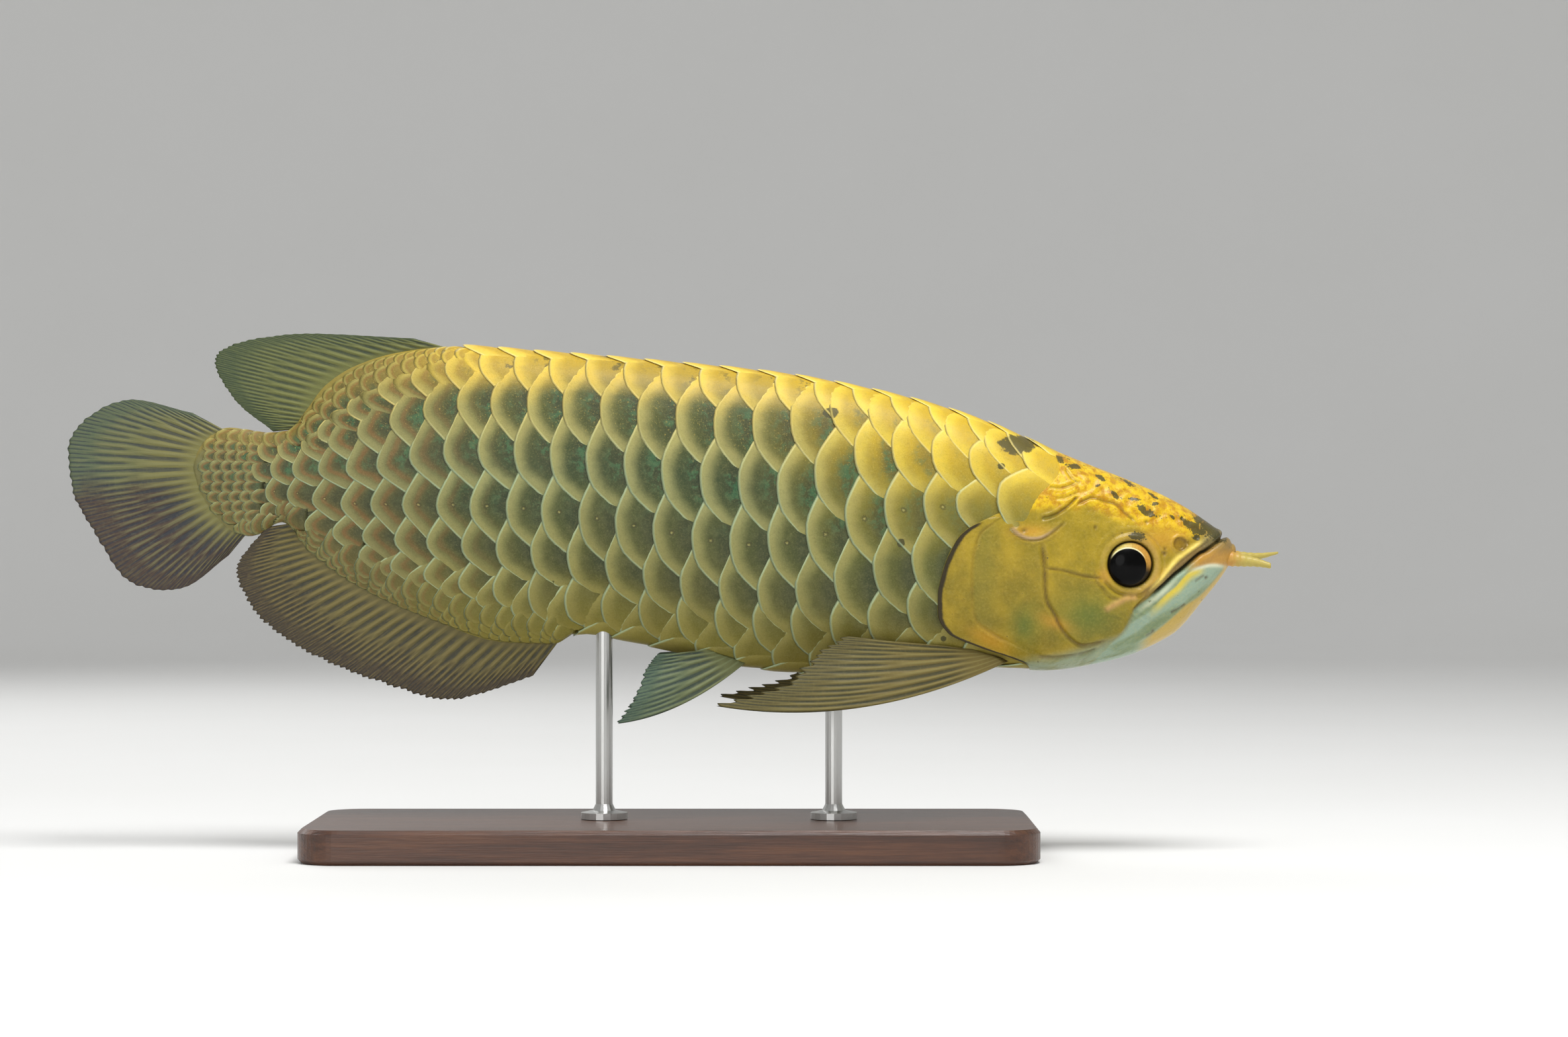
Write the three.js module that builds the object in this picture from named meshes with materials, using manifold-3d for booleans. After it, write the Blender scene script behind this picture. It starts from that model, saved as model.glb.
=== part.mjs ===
// Asian arowana, life size, as a still display model on a plain stand.
// Millimetres. The nose points along +X, the back along +Z, and the right side faces -Y.
// The origin lies under the middle of the whole model, where the stand rests.

import * as THREE from 'three';
import { mergeVertices } from 'three/addons/utils/BufferGeometryUtils.js';
import Module from 'manifold-3d';

const wasm = await Module();
wasm.setup();

// Driving sizes of the fish

const TAIL_END_X = -225.5; // rear edge of the scaled tail base
const SNOUT_X = 263; // tip of the closed lower jaw
const TRUNK_SPLIT_X = -20; // between the front and rear trunk
const STALK_SPLIT_X = -180; // between the rear trunk and the tail stalk
const GAP = 0.3; // clearance between neighbouring pieces
const GILL_COVER_THICKNESS = 4;
const FIN_ROOT_DEPTH = 6; // how far a fin runs into the body before it is trimmed
const EYE_CENTRE = [213.8, 136.3]; // x and z
const EYE_RADIUS = 10.8;
const EYE_HALF_DEPTH = 6;
const EYE_SINK = 2.2; // from the cheek surface in to the eye's centre

// Driving sizes of the stand

const BASE_LENGTH = 340;
const BASE_WIDTH = 150;
const BASE_HEIGHT = 16;
const BASE_CORNER = 18;
const BASE_CHAMFER = 2;
const ROD_RADIUS = 4;
const ROD_FOOT_RADIUS = 11;
const ROD_FOOT_HEIGHT = 3;
const ROD_SOCKET_DEPTH = 14;
const ROD_X = { front: 76, rear: -32 };

// Resolution of the faceted shapes

const BODY_RINGS = 38;
const BODY_SIDES = 28;
const EYE_SIDES = 16;

// A smooth function through a few points, which never swings past them

function smoothLine(points) {
  const slopes = points.slice(1).map(([x, v], i) => (v - points[i][1]) / (x - points[i][0]));
  const tangents = points.map((_, i) => {
    if (i === 0) return slopes[0];
    if (i === points.length - 1) return slopes[i - 1];
    const [a, b] = [slopes[i - 1], slopes[i]];
    return a * b <= 0 ? 0 : (2 * a * b) / (a + b);
  });
  return (x) => {
    const last = points.length - 2;
    const found = points.findIndex(([px]) => px > x) - 1;
    const i = found < 0 ? (x < points[0][0] ? 0 : last) : Math.min(found, last);
    const [x0, v0] = points[i];
    const [x1, v1] = points[i + 1];
    const span = x1 - x0;
    const t = Math.min(Math.max((x - x0) / span, 0), 1);
    const rise = t * t * (3 - 2 * t);
    const lean0 = t * (1 - t) * (1 - t) * span * tangents[i];
    const lean1 = t * t * (t - 1) * span * tangents[i + 1];
    return v0 + (v1 - v0) * rise + lean0 + lean1;
  };
}

// The body's outline from the side, its half width from above, and the shape of its sections

const back = smoothLine([
  [TAIL_END_X, 184], [-223, 192], [-217, 198.5], [-208, 201], [-190, 198.5], [-181, 199.5],
  [-174, 208.5], [-164, 222], [-150, 231], [-130, 237], [-108, 239.5], [-60, 236.5],
  [0, 231.5], [50, 226.5], [100, 217.5], [140, 206.5], [190, 185.5], [235, 166.5],
  [256, 152.5], [SNOUT_X, 145.5],
]);
const belly = smoothLine([
  [TAIL_END_X, 180], [-223, 170], [-217, 160], [-206, 150], [-198, 148.5], [-183, 156],
  [-173, 142], [-156, 128.5], [-120, 111], [-78, 97.5], [-56, 97], [-43, 103],
  [-15, 98], [30, 88], [70, 84], [115, 85], [150, 87.5], [174, 86], [205, 90.5],
  [235, 103], [250, 119.5], [261, 134.5], [SNOUT_X, 139],
]);
const halfWidth = smoothLine([
  [TAIL_END_X, 1.4], [-215, 3], [-190, 6.5], [-165, 11], [-130, 18], [-90, 23], [-40, 26],
  [20, 27.5], [120, 27.5], [170, 26.5], [205, 24], [225, 21], [240, 17.5], [252, 12.5],
  [259, 8.5], [SNOUT_X, 3.5],
]);
const upperRoundness = smoothLine([
  [TAIL_END_X, 2], [-185, 2], [-170, 1.45], [-120, 1.7], [-80, 2.1], [0, 2.4], [SNOUT_X, 2.5],
]);
const lowerRoundness = smoothLine([
  [TAIL_END_X, 2], [-188, 2], [-172, 1.45], [-60, 1.55], [0, 1.75], [100, 1.9], [SNOUT_X, 2],
]);
const widestHeight = smoothLine([[TAIL_END_X, 0.5], [0, 0.56], [150, 0.55], [216, 0.5], [SNOUT_X, 0.5]]);

// One section of the body at x, as the point at an angle measured from the back

function sectionPoint(x, angle, grow) {
  const top = back(x) + grow;
  const bottom = belly(x) - grow;
  const middle = bottom + (top - bottom) * widestHeight(x);
  const up = Math.cos(angle);
  const side = Math.sin(angle);
  const height = up > 0 ? top - middle : middle - bottom;
  const power = 2 / (up > 0 ? upperRoundness(x) : lowerRoundness(x));
  const width = Math.max(halfWidth(x) + grow, 0.4);
  return new THREE.Vector3(
    x,
    Math.sign(side) * width * Math.abs(side) ** power,
    middle + Math.sign(up) * height * Math.abs(up) ** power,
  );
}

// The flank's distance from the middle plane, at a place on the side view

function flank(x, z) {
  const top = back(x);
  const bottom = belly(x);
  const middle = bottom + (top - bottom) * widestHeight(x);
  const upper = z > middle;
  const reach = Math.min(Math.abs(z - middle) / (upper ? top - middle : middle - bottom), 1);
  const roundness = upper ? upperRoundness(x) : lowerRoundness(x);
  return halfWidth(x) * (1 - reach ** roundness) ** (1 / roundness);
}

// A closed skin over a row of rings with equal point counts, with a fan over each end

function loft(rings) {
  const count = rings[0].length;
  const positions = rings.flat().flatMap((point) => point.toArray());
  const faces = [];
  for (let ring = 0; ring < rings.length - 1; ring += 1) {
    for (let k = 0; k < count; k += 1) {
      const a = ring * count + k;
      const b = ring * count + ((k + 1) % count);
      faces.push(a, b, a + count, b, b + count, a + count);
    }
  }
  [0, rings.length - 1].forEach((ring, end) => {
    const middle = rings[ring].reduce((sum, point) => sum.add(point), new THREE.Vector3());
    positions.push(...middle.divideScalar(count).toArray());
    const centre = positions.length / 3 - 1;
    for (let k = 0; k < count; k += 1) {
      const a = ring * count + k;
      const b = ring * count + ((k + 1) % count);
      faces.push(...(end === 0 ? [b, a, centre] : [a, b, centre]));
    }
  });
  const geometry = new THREE.BufferGeometry();
  geometry.setAttribute('position', new THREE.Float32BufferAttribute(positions, 3));
  geometry.setIndex(faces);
  return signedVolume(geometry) < 0 ? insideOut(geometry) : geometry;
}

function signedVolume(geometry) {
  const { position } = geometry.attributes;
  const corner = (k) => new THREE.Vector3().fromBufferAttribute(position, geometry.index.array[k]);
  let sum = 0;
  for (let k = 0; k < geometry.index.count; k += 3) {
    sum += corner(k).dot(corner(k + 1).cross(corner(k + 2)));
  }
  return sum / 6;
}

function insideOut(geometry) {
  const turned = [];
  const { array } = geometry.index;
  for (let k = 0; k < array.length; k += 3) turned.push(array[k], array[k + 2], array[k + 1]);
  geometry.setIndex(turned);
  return geometry;
}

// Conversion between geometry and solids for joins and cuts

function solidOf(geometry) {
  const bare = geometry.clone();
  bare.deleteAttribute('normal');
  bare.deleteAttribute('uv');
  const merged = mergeVertices(bare, 1e-4);
  return new wasm.Manifold(new wasm.Mesh({
    numProp: 3,
    vertProperties: new Float32Array(merged.attributes.position.array),
    triVerts: new Uint32Array(merged.index.array),
  }));
}

function geometryOf(solid) {
  const { vertProperties, triVerts } = solid.getMesh();
  const geometry = new THREE.BufferGeometry();
  geometry.setAttribute('position', new THREE.BufferAttribute(vertProperties, 3));
  geometry.setIndex(new THREE.BufferAttribute(triVerts, 1));
  geometry.computeVertexNormals();
  return geometry;
}

// The whole body from the tail base to the jaw, grown or shrunk by a margin

function bodySolid(grow = 0) {
  const rings = [];
  for (let ring = 0; ring <= BODY_RINGS; ring += 1) {
    const t = ring / BODY_RINGS;
    const eased = t - Math.sin(2 * Math.PI * t) * 0.115;
    const x = TAIL_END_X - grow + (SNOUT_X - TAIL_END_X + 2 * grow) * eased;
    const sides = [];
    for (let k = 0; k < BODY_SIDES; k += 1) {
      sides.push(sectionPoint(x, (2 * Math.PI * k) / BODY_SIDES, grow));
    }
    rings.push(sides);
  }
  return solidOf(loft(rings));
}

// A block whose outline is drawn on the side view, running across the body from y0 to y1

function sideBlock(outline, y0 = -100, y1 = 100) {
  const shape = new THREE.Shape(outline.map(([x, z]) => new THREE.Vector2(x, z)));
  const geometry = new THREE.ExtrudeGeometry(shape, { depth: y1 - y0, bevelEnabled: false });
  geometry.rotateX(Math.PI / 2);
  geometry.translate(0, y1, 0);
  return solidOf(geometry);
}

// A smooth outline through a few points on the side view

function spline(points, steps) {
  const curve = new THREE.SplineCurve(points.map(([x, z]) => new THREE.Vector2(x, z)));
  return curve.getPoints(steps).map((point) => [point.x, point.y]);
}

// An outline moved outward from its own middle by a margin

function widened(outline, margin) {
  const middle = [0, 1].map((k) => outline.reduce((sum, p) => sum + p[k], 0) / outline.length);
  return outline.map(([x, z]) => {
    const away = new THREE.Vector2(x - middle[0], z - middle[1]);
    away.setLength(away.length() + margin);
    return [middle[0] + away.x, middle[1] + away.y];
  });
}

// Head, jaw and gill covers on the side view

const NAPE_LINE = [[168, 230], [168, 205], [174, 179], [156, 157], [148, 131], [148, 103], [151, 60]];
const MOUTH_LINE = spline([
  [275, 153], [259, 147], [245, 137.5], [232, 126], [216, 112.5], [205, 98], [194, 78],
], 10);
const GILL_OUTLINE = [
  ...spline([
    [157, 162], [142, 156], [132, 146], [127, 128], [126, 111], [134, 102], [150, 97], [168, 92],
  ], 14),
  ...spline([[183, 94], [183, 105], [176, 124], [174, 140], [172, 149]], 5),
];

const frontOf = (line, shift) => [...line.map(([x, z]) => [x + shift, z]), [400, 60], [400, 230]];
const rearOf = (line, shift) => [...line.map(([x, z]) => [x + shift, z]), [-400, 60], [-400, 230]];
const jawBlock = (shift) => sideBlock([
  ...MOUTH_LINE.map(([x, z]) => [x - shift * 0.7, z + shift * 0.7]), [194, 40], [300, 40], [300, 153],
]);

const body = bodySolid();
const grownBody = bodySolid(GAP);
const bodyCore = bodySolid(-GILL_COVER_THICKNESS);
const innerCore = bodySolid(-GILL_COVER_THICKNESS - GAP);

function gillCover(side) {
  const [y0, y1] = side < 0 ? [-100, -2] : [2, 100];
  return body.intersect(sideBlock(GILL_OUTLINE, y0, y1)).subtract(bodyCore);
}

function gillRecess() {
  return sideBlock(widened(GILL_OUTLINE, GAP)).subtract(innerCore);
}

// Eyes, flattened balls set into the cheeks

function eyeGeometry(side, margin) {
  const [x, z] = EYE_CENTRE;
  const eye = new THREE.SphereGeometry(1, EYE_SIDES, EYE_SIDES / 2);
  eye.rotateX(Math.PI / 2);
  eye.scale(EYE_RADIUS + margin, EYE_HALF_DEPTH + margin, EYE_RADIUS + margin);
  eye.translate(x, side * (flank(x, z) - EYE_SINK), z);
  return eye;
}

const eyeSockets = solidOf(eyeGeometry(-1, GAP)).add(solidOf(eyeGeometry(1, GAP)));

// The stand: a wooden base, and two rods that end in sockets in the belly

function rodGeometry(x, margin) {
  const foot = BASE_HEIGHT + GAP;
  const top = belly(x) + ROD_SOCKET_DEPTH;
  const radius = ROD_RADIUS + margin;
  const profile = [
    [0, foot], [ROD_FOOT_RADIUS, foot], [ROD_FOOT_RADIUS, foot + ROD_FOOT_HEIGHT],
    [radius + 1.5, foot + ROD_FOOT_HEIGHT + 1], [radius, foot + ROD_FOOT_HEIGHT + 4],
    [radius, top + margin], [0, top + margin],
  ];
  const rod = new THREE.LatheGeometry(profile.map(([r, z]) => new THREE.Vector2(r, z)), 20);
  rod.rotateX(Math.PI / 2);
  rod.translate(x, 0, 0);
  return signedVolume(rod) < 0 ? insideOut(rod) : rod;
}

const rodSockets = solidOf(rodGeometry(ROD_X.front, GAP)).add(solidOf(rodGeometry(ROD_X.rear, GAP)));

function baseGeometry() {
  const [length, width] = [BASE_LENGTH / 2 - BASE_CHAMFER, BASE_WIDTH / 2 - BASE_CHAMFER];
  const outline = new THREE.Shape();
  const r = BASE_CORNER;
  outline.moveTo(-length + r, -width);
  outline.absarc(length - r, -width + r, r, -Math.PI / 2, 0);
  outline.absarc(length - r, width - r, r, 0, Math.PI / 2);
  outline.absarc(-length + r, width - r, r, Math.PI / 2, Math.PI);
  outline.absarc(-length + r, -width + r, r, Math.PI, 1.5 * Math.PI);
  const base = new THREE.ExtrudeGeometry(outline, {
    depth: BASE_HEIGHT - 2 * BASE_CHAMFER,
    bevelSize: BASE_CHAMFER,
    bevelThickness: BASE_CHAMFER,
    bevelSegments: 1,
    curveSegments: 6,
  });
  base.translate(0, 0, BASE_CHAMFER);
  return base;
}

// The flesh, parted by thin cuts

const nakedHead = body
  .intersect(sideBlock(frontOf(NAPE_LINE, GAP)))
  .subtract(gillRecess())
  .subtract(eyeSockets);
const flesh = {
  head: nakedHead.subtract(jawBlock(GAP)),
  lower_jaw: body.intersect(jawBlock(0)),
  gill_cover_right: gillCover(-1),
  gill_cover_left: gillCover(1),
  trunk_front: body
    .intersect(sideBlock(rearOf(NAPE_LINE, 0)))
    .subtract(sideBlock(rearOf([[TRUNK_SPLIT_X, 260], [TRUNK_SPLIT_X, 60]], 0)))
    .subtract(gillRecess())
    .subtract(rodSockets),
  trunk_rear: body
    .intersect(sideBlock(rearOf([[TRUNK_SPLIT_X - GAP, 260], [TRUNK_SPLIT_X - GAP, 60]], 0)))
    .subtract(sideBlock(rearOf([[STALK_SPLIT_X, 260], [STALK_SPLIT_X, 60]], 0)))
    .subtract(rodSockets),
  tail_stalk: body
    .intersect(sideBlock(rearOf([[STALK_SPLIT_X - GAP, 260], [STALK_SPLIT_X - GAP, 60]], 0))),
};

// A fin, as rays from a root line to an outer edge; a bow bends the leading rays

function finSolid({ root, edge, rays, rootHalf, edgeHalf, bow = [0, 0, 0], steps = 3 }) {
  const rootCurve = new THREE.CatmullRomCurve3(root.map((p) => new THREE.Vector3(...p)));
  const edgeCurve = new THREE.CatmullRomCurve3(edge.map((p) => new THREE.Vector3(...p)));
  const bend = new THREE.Vector3(...bow);
  const ray = (u, v) => {
    const start = rootCurve.getPoint(u);
    const end = edgeCurve.getPoint(u);
    const inward = start.clone().sub(end).setLength(FIN_ROOT_DEPTH);
    start.add(inward);
    return start.lerp(end, v).addScaledVector(bend, 4 * v * (1 - v) * (1 - u) ** 2);
  };
  const rings = [];
  for (let i = 0; i <= rays; i += 1) {
    const u = i / rays;
    const near = [];
    const far = [];
    for (let j = 0; j <= steps; j += 1) {
      const v = j / steps;
      const point = ray(u, v);
      const along = ray(u, Math.min(v + 0.05, 1)).sub(ray(u, Math.max(v - 0.05, 0)));
      const across = ray(Math.min(u + 0.02, 1), v).sub(ray(Math.max(u - 0.02, 0), v));
      const normal = along.cross(across).setLength(rootHalf + (edgeHalf - rootHalf) * v);
      near.push(point.clone().add(normal));
      far.unshift(point.clone().sub(normal));
    }
    rings.push([...near, ...far]);
  }
  return solidOf(loft(rings)).subtract(grownBody);
}

const onMiddlePlane = (points) => points.map(([x, z]) => [x, 0, z]);
const mirrored = (points) => points.map(([x, y, z]) => [x, -y, z]);

const DORSAL_FIN = {
  root: onMiddlePlane([
    [-113, 240], [-142, 233.5], [-164, 222], [-174, 208.5], [-178.5, 199.5],
  ]),
  edge: onMiddlePlane([
    [-122, 242.5], [-180, 244.5], [-214.5, 235.5], [-207, 214.5], [-188, 198.5],
  ]),
  rays: 18,
  rootHalf: 1.6,
  edgeHalf: 0.4,
};
const ANAL_FIN = {
  root: onMiddlePlane([
    [-55.5, 97], [-78, 97.5], [-107, 106], [-132.5, 115.5], [-156, 128.5], [-173, 142], [-182, 155],
  ]),
  edge: onMiddlePlane([
    [-66, 83], [-104.5, 72], [-138.5, 80.5], [-168.5, 92.5], [-193.5, 109.5], [-205.5, 133],
    [-191.5, 153.5],
  ]),
  rays: 24,
  rootHalf: 1.6,
  edgeHalf: 0.4,
};
const TAIL_FIN = {
  root: onMiddlePlane([
    [-212, 200], [-219.5, 196], [-224, 189], [-224.5, 177.5], [-222, 168], [-215, 158.5],
    [-206, 152], [-201, 149.5],
  ]),
  edge: onMiddlePlane([
    [-226, 207.5], [-258, 213.5], [-282.5, 198], [-283, 172], [-272.5, 151.5], [-256, 128],
    [-231, 124.5], [-209, 140],
  ]),
  rays: 24,
  rootHalf: 1.2,
  edgeHalf: 0.4,
};
const PECTORAL_FIN = {
  root: [[152, -11, 90], [148, -12, 92], [143, -12.5, 94], [135.5, -13, 96.5]],
  edge: [[15, -54, 73], [49, -42, 80], [65, -33, 94], [80, -25, 103]],
  rays: 12,
  steps: 6,
  rootHalf: 2,
  edgeHalf: 0.4,
  bow: [0, -4, -12],
};
const PELVIC_FIN = {
  root: [[30, -6, 88], [24, -7.5, 90], [18, -8.5, 92.5], [12, -9.5, 95.5]],
  edge: [[-27.5, -26, 62], [-19, -22, 72], [-13, -18, 86], [-7.5, -15.5, 94]],
  rays: 8,
  steps: 4,
  rootHalf: 1.5,
  edgeHalf: 0.4,
  bow: [0, -2, -6],
};

function pairedFin(fin, side) {
  if (side < 0) return finSolid(fin);
  return finSolid({
    ...fin,
    root: mirrored(fin.root),
    edge: mirrored(fin.edge),
    bow: [fin.bow[0], -fin.bow[1], fin.bow[2]],
  });
}

// Barbels, tapering feelers on the tip of the lower jaw

const BARBELS = {
  right: { path: [[258, -4, 139.5], [271, -6, 138.5], [281, -8.5, 135]], rootRadius: 1.9, tipRadius: 0.9 },
  left: { path: [[258, 4, 139.5], [273, 6, 136.5], [285.5, 9, 141.5]], rootRadius: 1.8, tipRadius: 0.5 },
};

function barbelSolid({ path, rootRadius, tipRadius }) {
  const curve = new THREE.QuadraticBezierCurve3(...path.map((p) => new THREE.Vector3(...p)));
  const [steps, sides] = [7, 8];
  const rings = [];
  for (let i = 0; i <= steps; i += 1) {
    const centre = curve.getPoint(i / steps);
    const radius = THREE.MathUtils.lerp(rootRadius, tipRadius, i / steps);
    const ring = [];
    for (let k = 0; k < sides; k += 1) {
      const angle = (2 * Math.PI * k) / sides;
      ring.push(centre.clone().add(new THREE.Vector3(0, radius * Math.cos(angle), radius * Math.sin(angle))));
    }
    rings.push(ring);
  }
  return solidOf(loft(rings)).subtract(grownBody);
}

// Finishes

const finish = (color, roughness, metalness = 0) => (
  new THREE.MeshStandardMaterial({ color, roughness, metalness })
);
const goldenHead = finish(0xc8a53c, 0.4);
const paleJaw = finish(0xc9c48f, 0.4);
const oliveCover = finish(0xa5923c, 0.4);
const scaledFlank = finish(0x7f8350, 0.35, 0.2);
const oliveFin = finish(0x7d8556, 0.5);
const duskyFin = finish(0x6a5c46, 0.5);
const tealFin = finish(0x5c7468, 0.5);
const blackEye = finish(0x0b0b0a, 0.1);
const darkWood = finish(0x3a2417, 0.5);
const steel = finish(0xb9bcc0, 0.3, 1);

// The model

const model = new THREE.Group();

function addPiece(name, geometry, material) {
  const mesh = new THREE.Mesh(geometry, material);
  mesh.name = name;
  model.add(mesh);
}

const fleshFinish = {
  head: goldenHead,
  lower_jaw: paleJaw,
  gill_cover_right: oliveCover,
  gill_cover_left: oliveCover,
  trunk_front: scaledFlank,
  trunk_rear: scaledFlank,
  tail_stalk: scaledFlank,
};
for (const [name, solid] of Object.entries(flesh)) addPiece(name, geometryOf(solid), fleshFinish[name]);

addPiece('dorsal_fin', geometryOf(finSolid(DORSAL_FIN)), oliveFin);
addPiece('anal_fin', geometryOf(finSolid(ANAL_FIN)), duskyFin);
addPiece('tail_fin', geometryOf(finSolid(TAIL_FIN)), duskyFin);
for (const [word, side] of [['right', -1], ['left', 1]]) {
  addPiece(`pectoral_fin_${word}`, geometryOf(pairedFin(PECTORAL_FIN, side)), duskyFin);
  addPiece(`pelvic_fin_${word}`, geometryOf(pairedFin(PELVIC_FIN, side)), tealFin);
  addPiece(`eye_${word}`, eyeGeometry(side, 0), blackEye);
  addPiece(`barbel_${word}`, geometryOf(barbelSolid(BARBELS[word])), paleJaw);
}

addPiece('stand_base', baseGeometry(), darkWood);
for (const [word, x] of Object.entries(ROD_X)) addPiece(`stand_rod_${word}`, rodGeometry(x, 0), steel);

export default model;
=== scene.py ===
# Asian arowana, life size, as a still display model: skin, scales, fins, eyes, barbels and stand.
# The nose points along +X, the back along +Z, and the right side faces -Y.
# Sizes are in millimetres until a mesh is written, which turns them into metres.

import math

import bmesh
import bpy
import numpy as np
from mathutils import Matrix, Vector


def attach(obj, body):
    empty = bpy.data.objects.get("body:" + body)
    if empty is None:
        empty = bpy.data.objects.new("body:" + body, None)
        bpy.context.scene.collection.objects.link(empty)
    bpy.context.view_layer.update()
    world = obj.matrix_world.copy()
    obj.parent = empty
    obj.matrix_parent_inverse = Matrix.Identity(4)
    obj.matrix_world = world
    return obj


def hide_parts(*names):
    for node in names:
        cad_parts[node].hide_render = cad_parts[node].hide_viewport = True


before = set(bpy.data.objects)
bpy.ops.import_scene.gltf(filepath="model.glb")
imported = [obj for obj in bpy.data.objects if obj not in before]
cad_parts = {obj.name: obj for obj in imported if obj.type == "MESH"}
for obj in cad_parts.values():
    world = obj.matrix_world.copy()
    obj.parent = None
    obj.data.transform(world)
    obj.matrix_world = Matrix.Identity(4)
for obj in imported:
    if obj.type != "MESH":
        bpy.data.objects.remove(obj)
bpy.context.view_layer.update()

MM = 0.001
MERGE_DISTANCE = 2e-6
COARSE_MERGE_DISTANCE = 1e-5
BAKE_MAP = "OFBake"
random = np.random.default_rng(seed=11)

# Driving sizes of the body

TAIL_END_X = -225.5
SNOUT_X = 263.0
HEAD_EDGE_X = 150.0
COAT_DEPTH = 1.3
EYE_CENTRE = (213.8, 136.3)
EYE_RADIUS = 10.8
EYE_HALF_DEPTH = 6.0
EYE_SINK = 2.2


# Curves


def smooth_line(points):
    """A smooth function through a few points, which never swings past them."""
    places, values = np.array(points, float).T
    slopes = np.diff(values) / np.diff(places)
    product = slopes[:-1] * slopes[1:]
    total = np.where(product > 0, slopes[:-1] + slopes[1:], 1)
    inner = np.where(product > 0, 2 * product / total, 0)
    tangents = np.concatenate([slopes[:1], inner, slopes[-1:]])

    def value(place):
        k = np.clip(np.searchsorted(places, place, side="right") - 1, 0, len(slopes) - 1)
        span = places[k + 1] - places[k]
        t = np.clip((place - places[k]) / span, 0, 1)
        rise = t * t * (3 - 2 * t)
        lean = t * (1 - t) * span * ((1 - t) * tangents[k] - t * tangents[k + 1])
        return values[k] + (values[k + 1] - values[k]) * rise + lean

    return value


def smooth_step(value, low, high):
    """0 below low, 1 above high, and smooth between them. low may be the larger one."""
    t = np.clip((value - low) / (high - low), 0, 1)
    return t * t * (3 - 2 * t)


def spline(points, t):
    """The point at t, from 0 to 1, of a smooth curve through all the points."""
    points = np.array(points, float)
    ends = 2 * points[[0, -1]] - points[[1, -2]]
    points = np.vstack([ends[:1], points, ends[1:]])
    last = len(points) - 3
    place = np.clip(np.asarray(t, float) * last, 0, last)
    k = np.minimum(place.astype(int), last - 1)
    f = (place - k)[..., None]
    a, b, c, d = (points[k + i] for i in range(4))
    return b + 0.5 * f * (c - a + f * (2 * a - 5 * b + 4 * c - d + f * (3 * (b - c) + d - a)))


def bump(value, middle, width):
    """A soft hump of height 1."""
    return np.exp(-(((value - middle) / width) ** 2))


# The body's outline from the side, its half width from above, and the shape of its sections

back = smooth_line([
    (TAIL_END_X, 184), (-223, 192), (-217, 198.5), (-208, 201), (-190, 198.5), (-181, 199.5),
    (-174, 208.5), (-164, 222), (-150, 231), (-130, 237), (-108, 239.5), (-60, 236.5),
    (0, 231.5), (50, 226.5), (100, 217.5), (140, 206.5), (190, 185.5), (235, 166.5),
    (256, 152.5), (SNOUT_X, 145.5),
])
belly = smooth_line([
    (TAIL_END_X, 180), (-223, 170), (-217, 160), (-206, 150), (-198, 148.5), (-183, 156),
    (-173, 142), (-156, 128.5), (-120, 111), (-78, 97.5), (-56, 97), (-43, 103),
    (-15, 98), (30, 88), (70, 84), (115, 85), (150, 87.5), (174, 86), (205, 90.5),
    (235, 103), (250, 119.5), (261, 134.5), (SNOUT_X, 139),
])
half_width = smooth_line([
    (TAIL_END_X, 1.4), (-215, 3), (-190, 6.5), (-165, 11), (-130, 18), (-90, 23), (-40, 26),
    (20, 27.5), (120, 27.5), (170, 26.5), (205, 24), (225, 21), (240, 17.5), (252, 12.5),
    (259, 8.5), (SNOUT_X, 3.5),
])
upper_roundness = smooth_line([
    (TAIL_END_X, 2), (-185, 2), (-170, 1.45), (-120, 1.7), (-80, 2.1), (0, 2.4), (SNOUT_X, 2.5),
])
lower_roundness = smooth_line([
    (TAIL_END_X, 2), (-188, 2), (-172, 1.45), (-60, 1.55), (0, 1.75), (100, 1.9), (SNOUT_X, 2),
])
widest_height = smooth_line([(TAIL_END_X, 0.5), (0, 0.56), (150, 0.55), (216, 0.5), (SNOUT_X, 0.5)])

# How deep the bare skin lies under the scales
coat_depth = smooth_line([
    (TAIL_END_X, 0.4), (-205, 0.6), (-190, 1.0), (-150, 1.2), (-110, COAT_DEPTH), (120, COAT_DEPTH),
])


def cell(place, count):
    """The cell of a table of that many steps that a place falls in, and how far into it."""
    place = np.clip(place, 0, count - 1.001)
    whole = place.astype(int)
    return whole, place - whole


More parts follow.
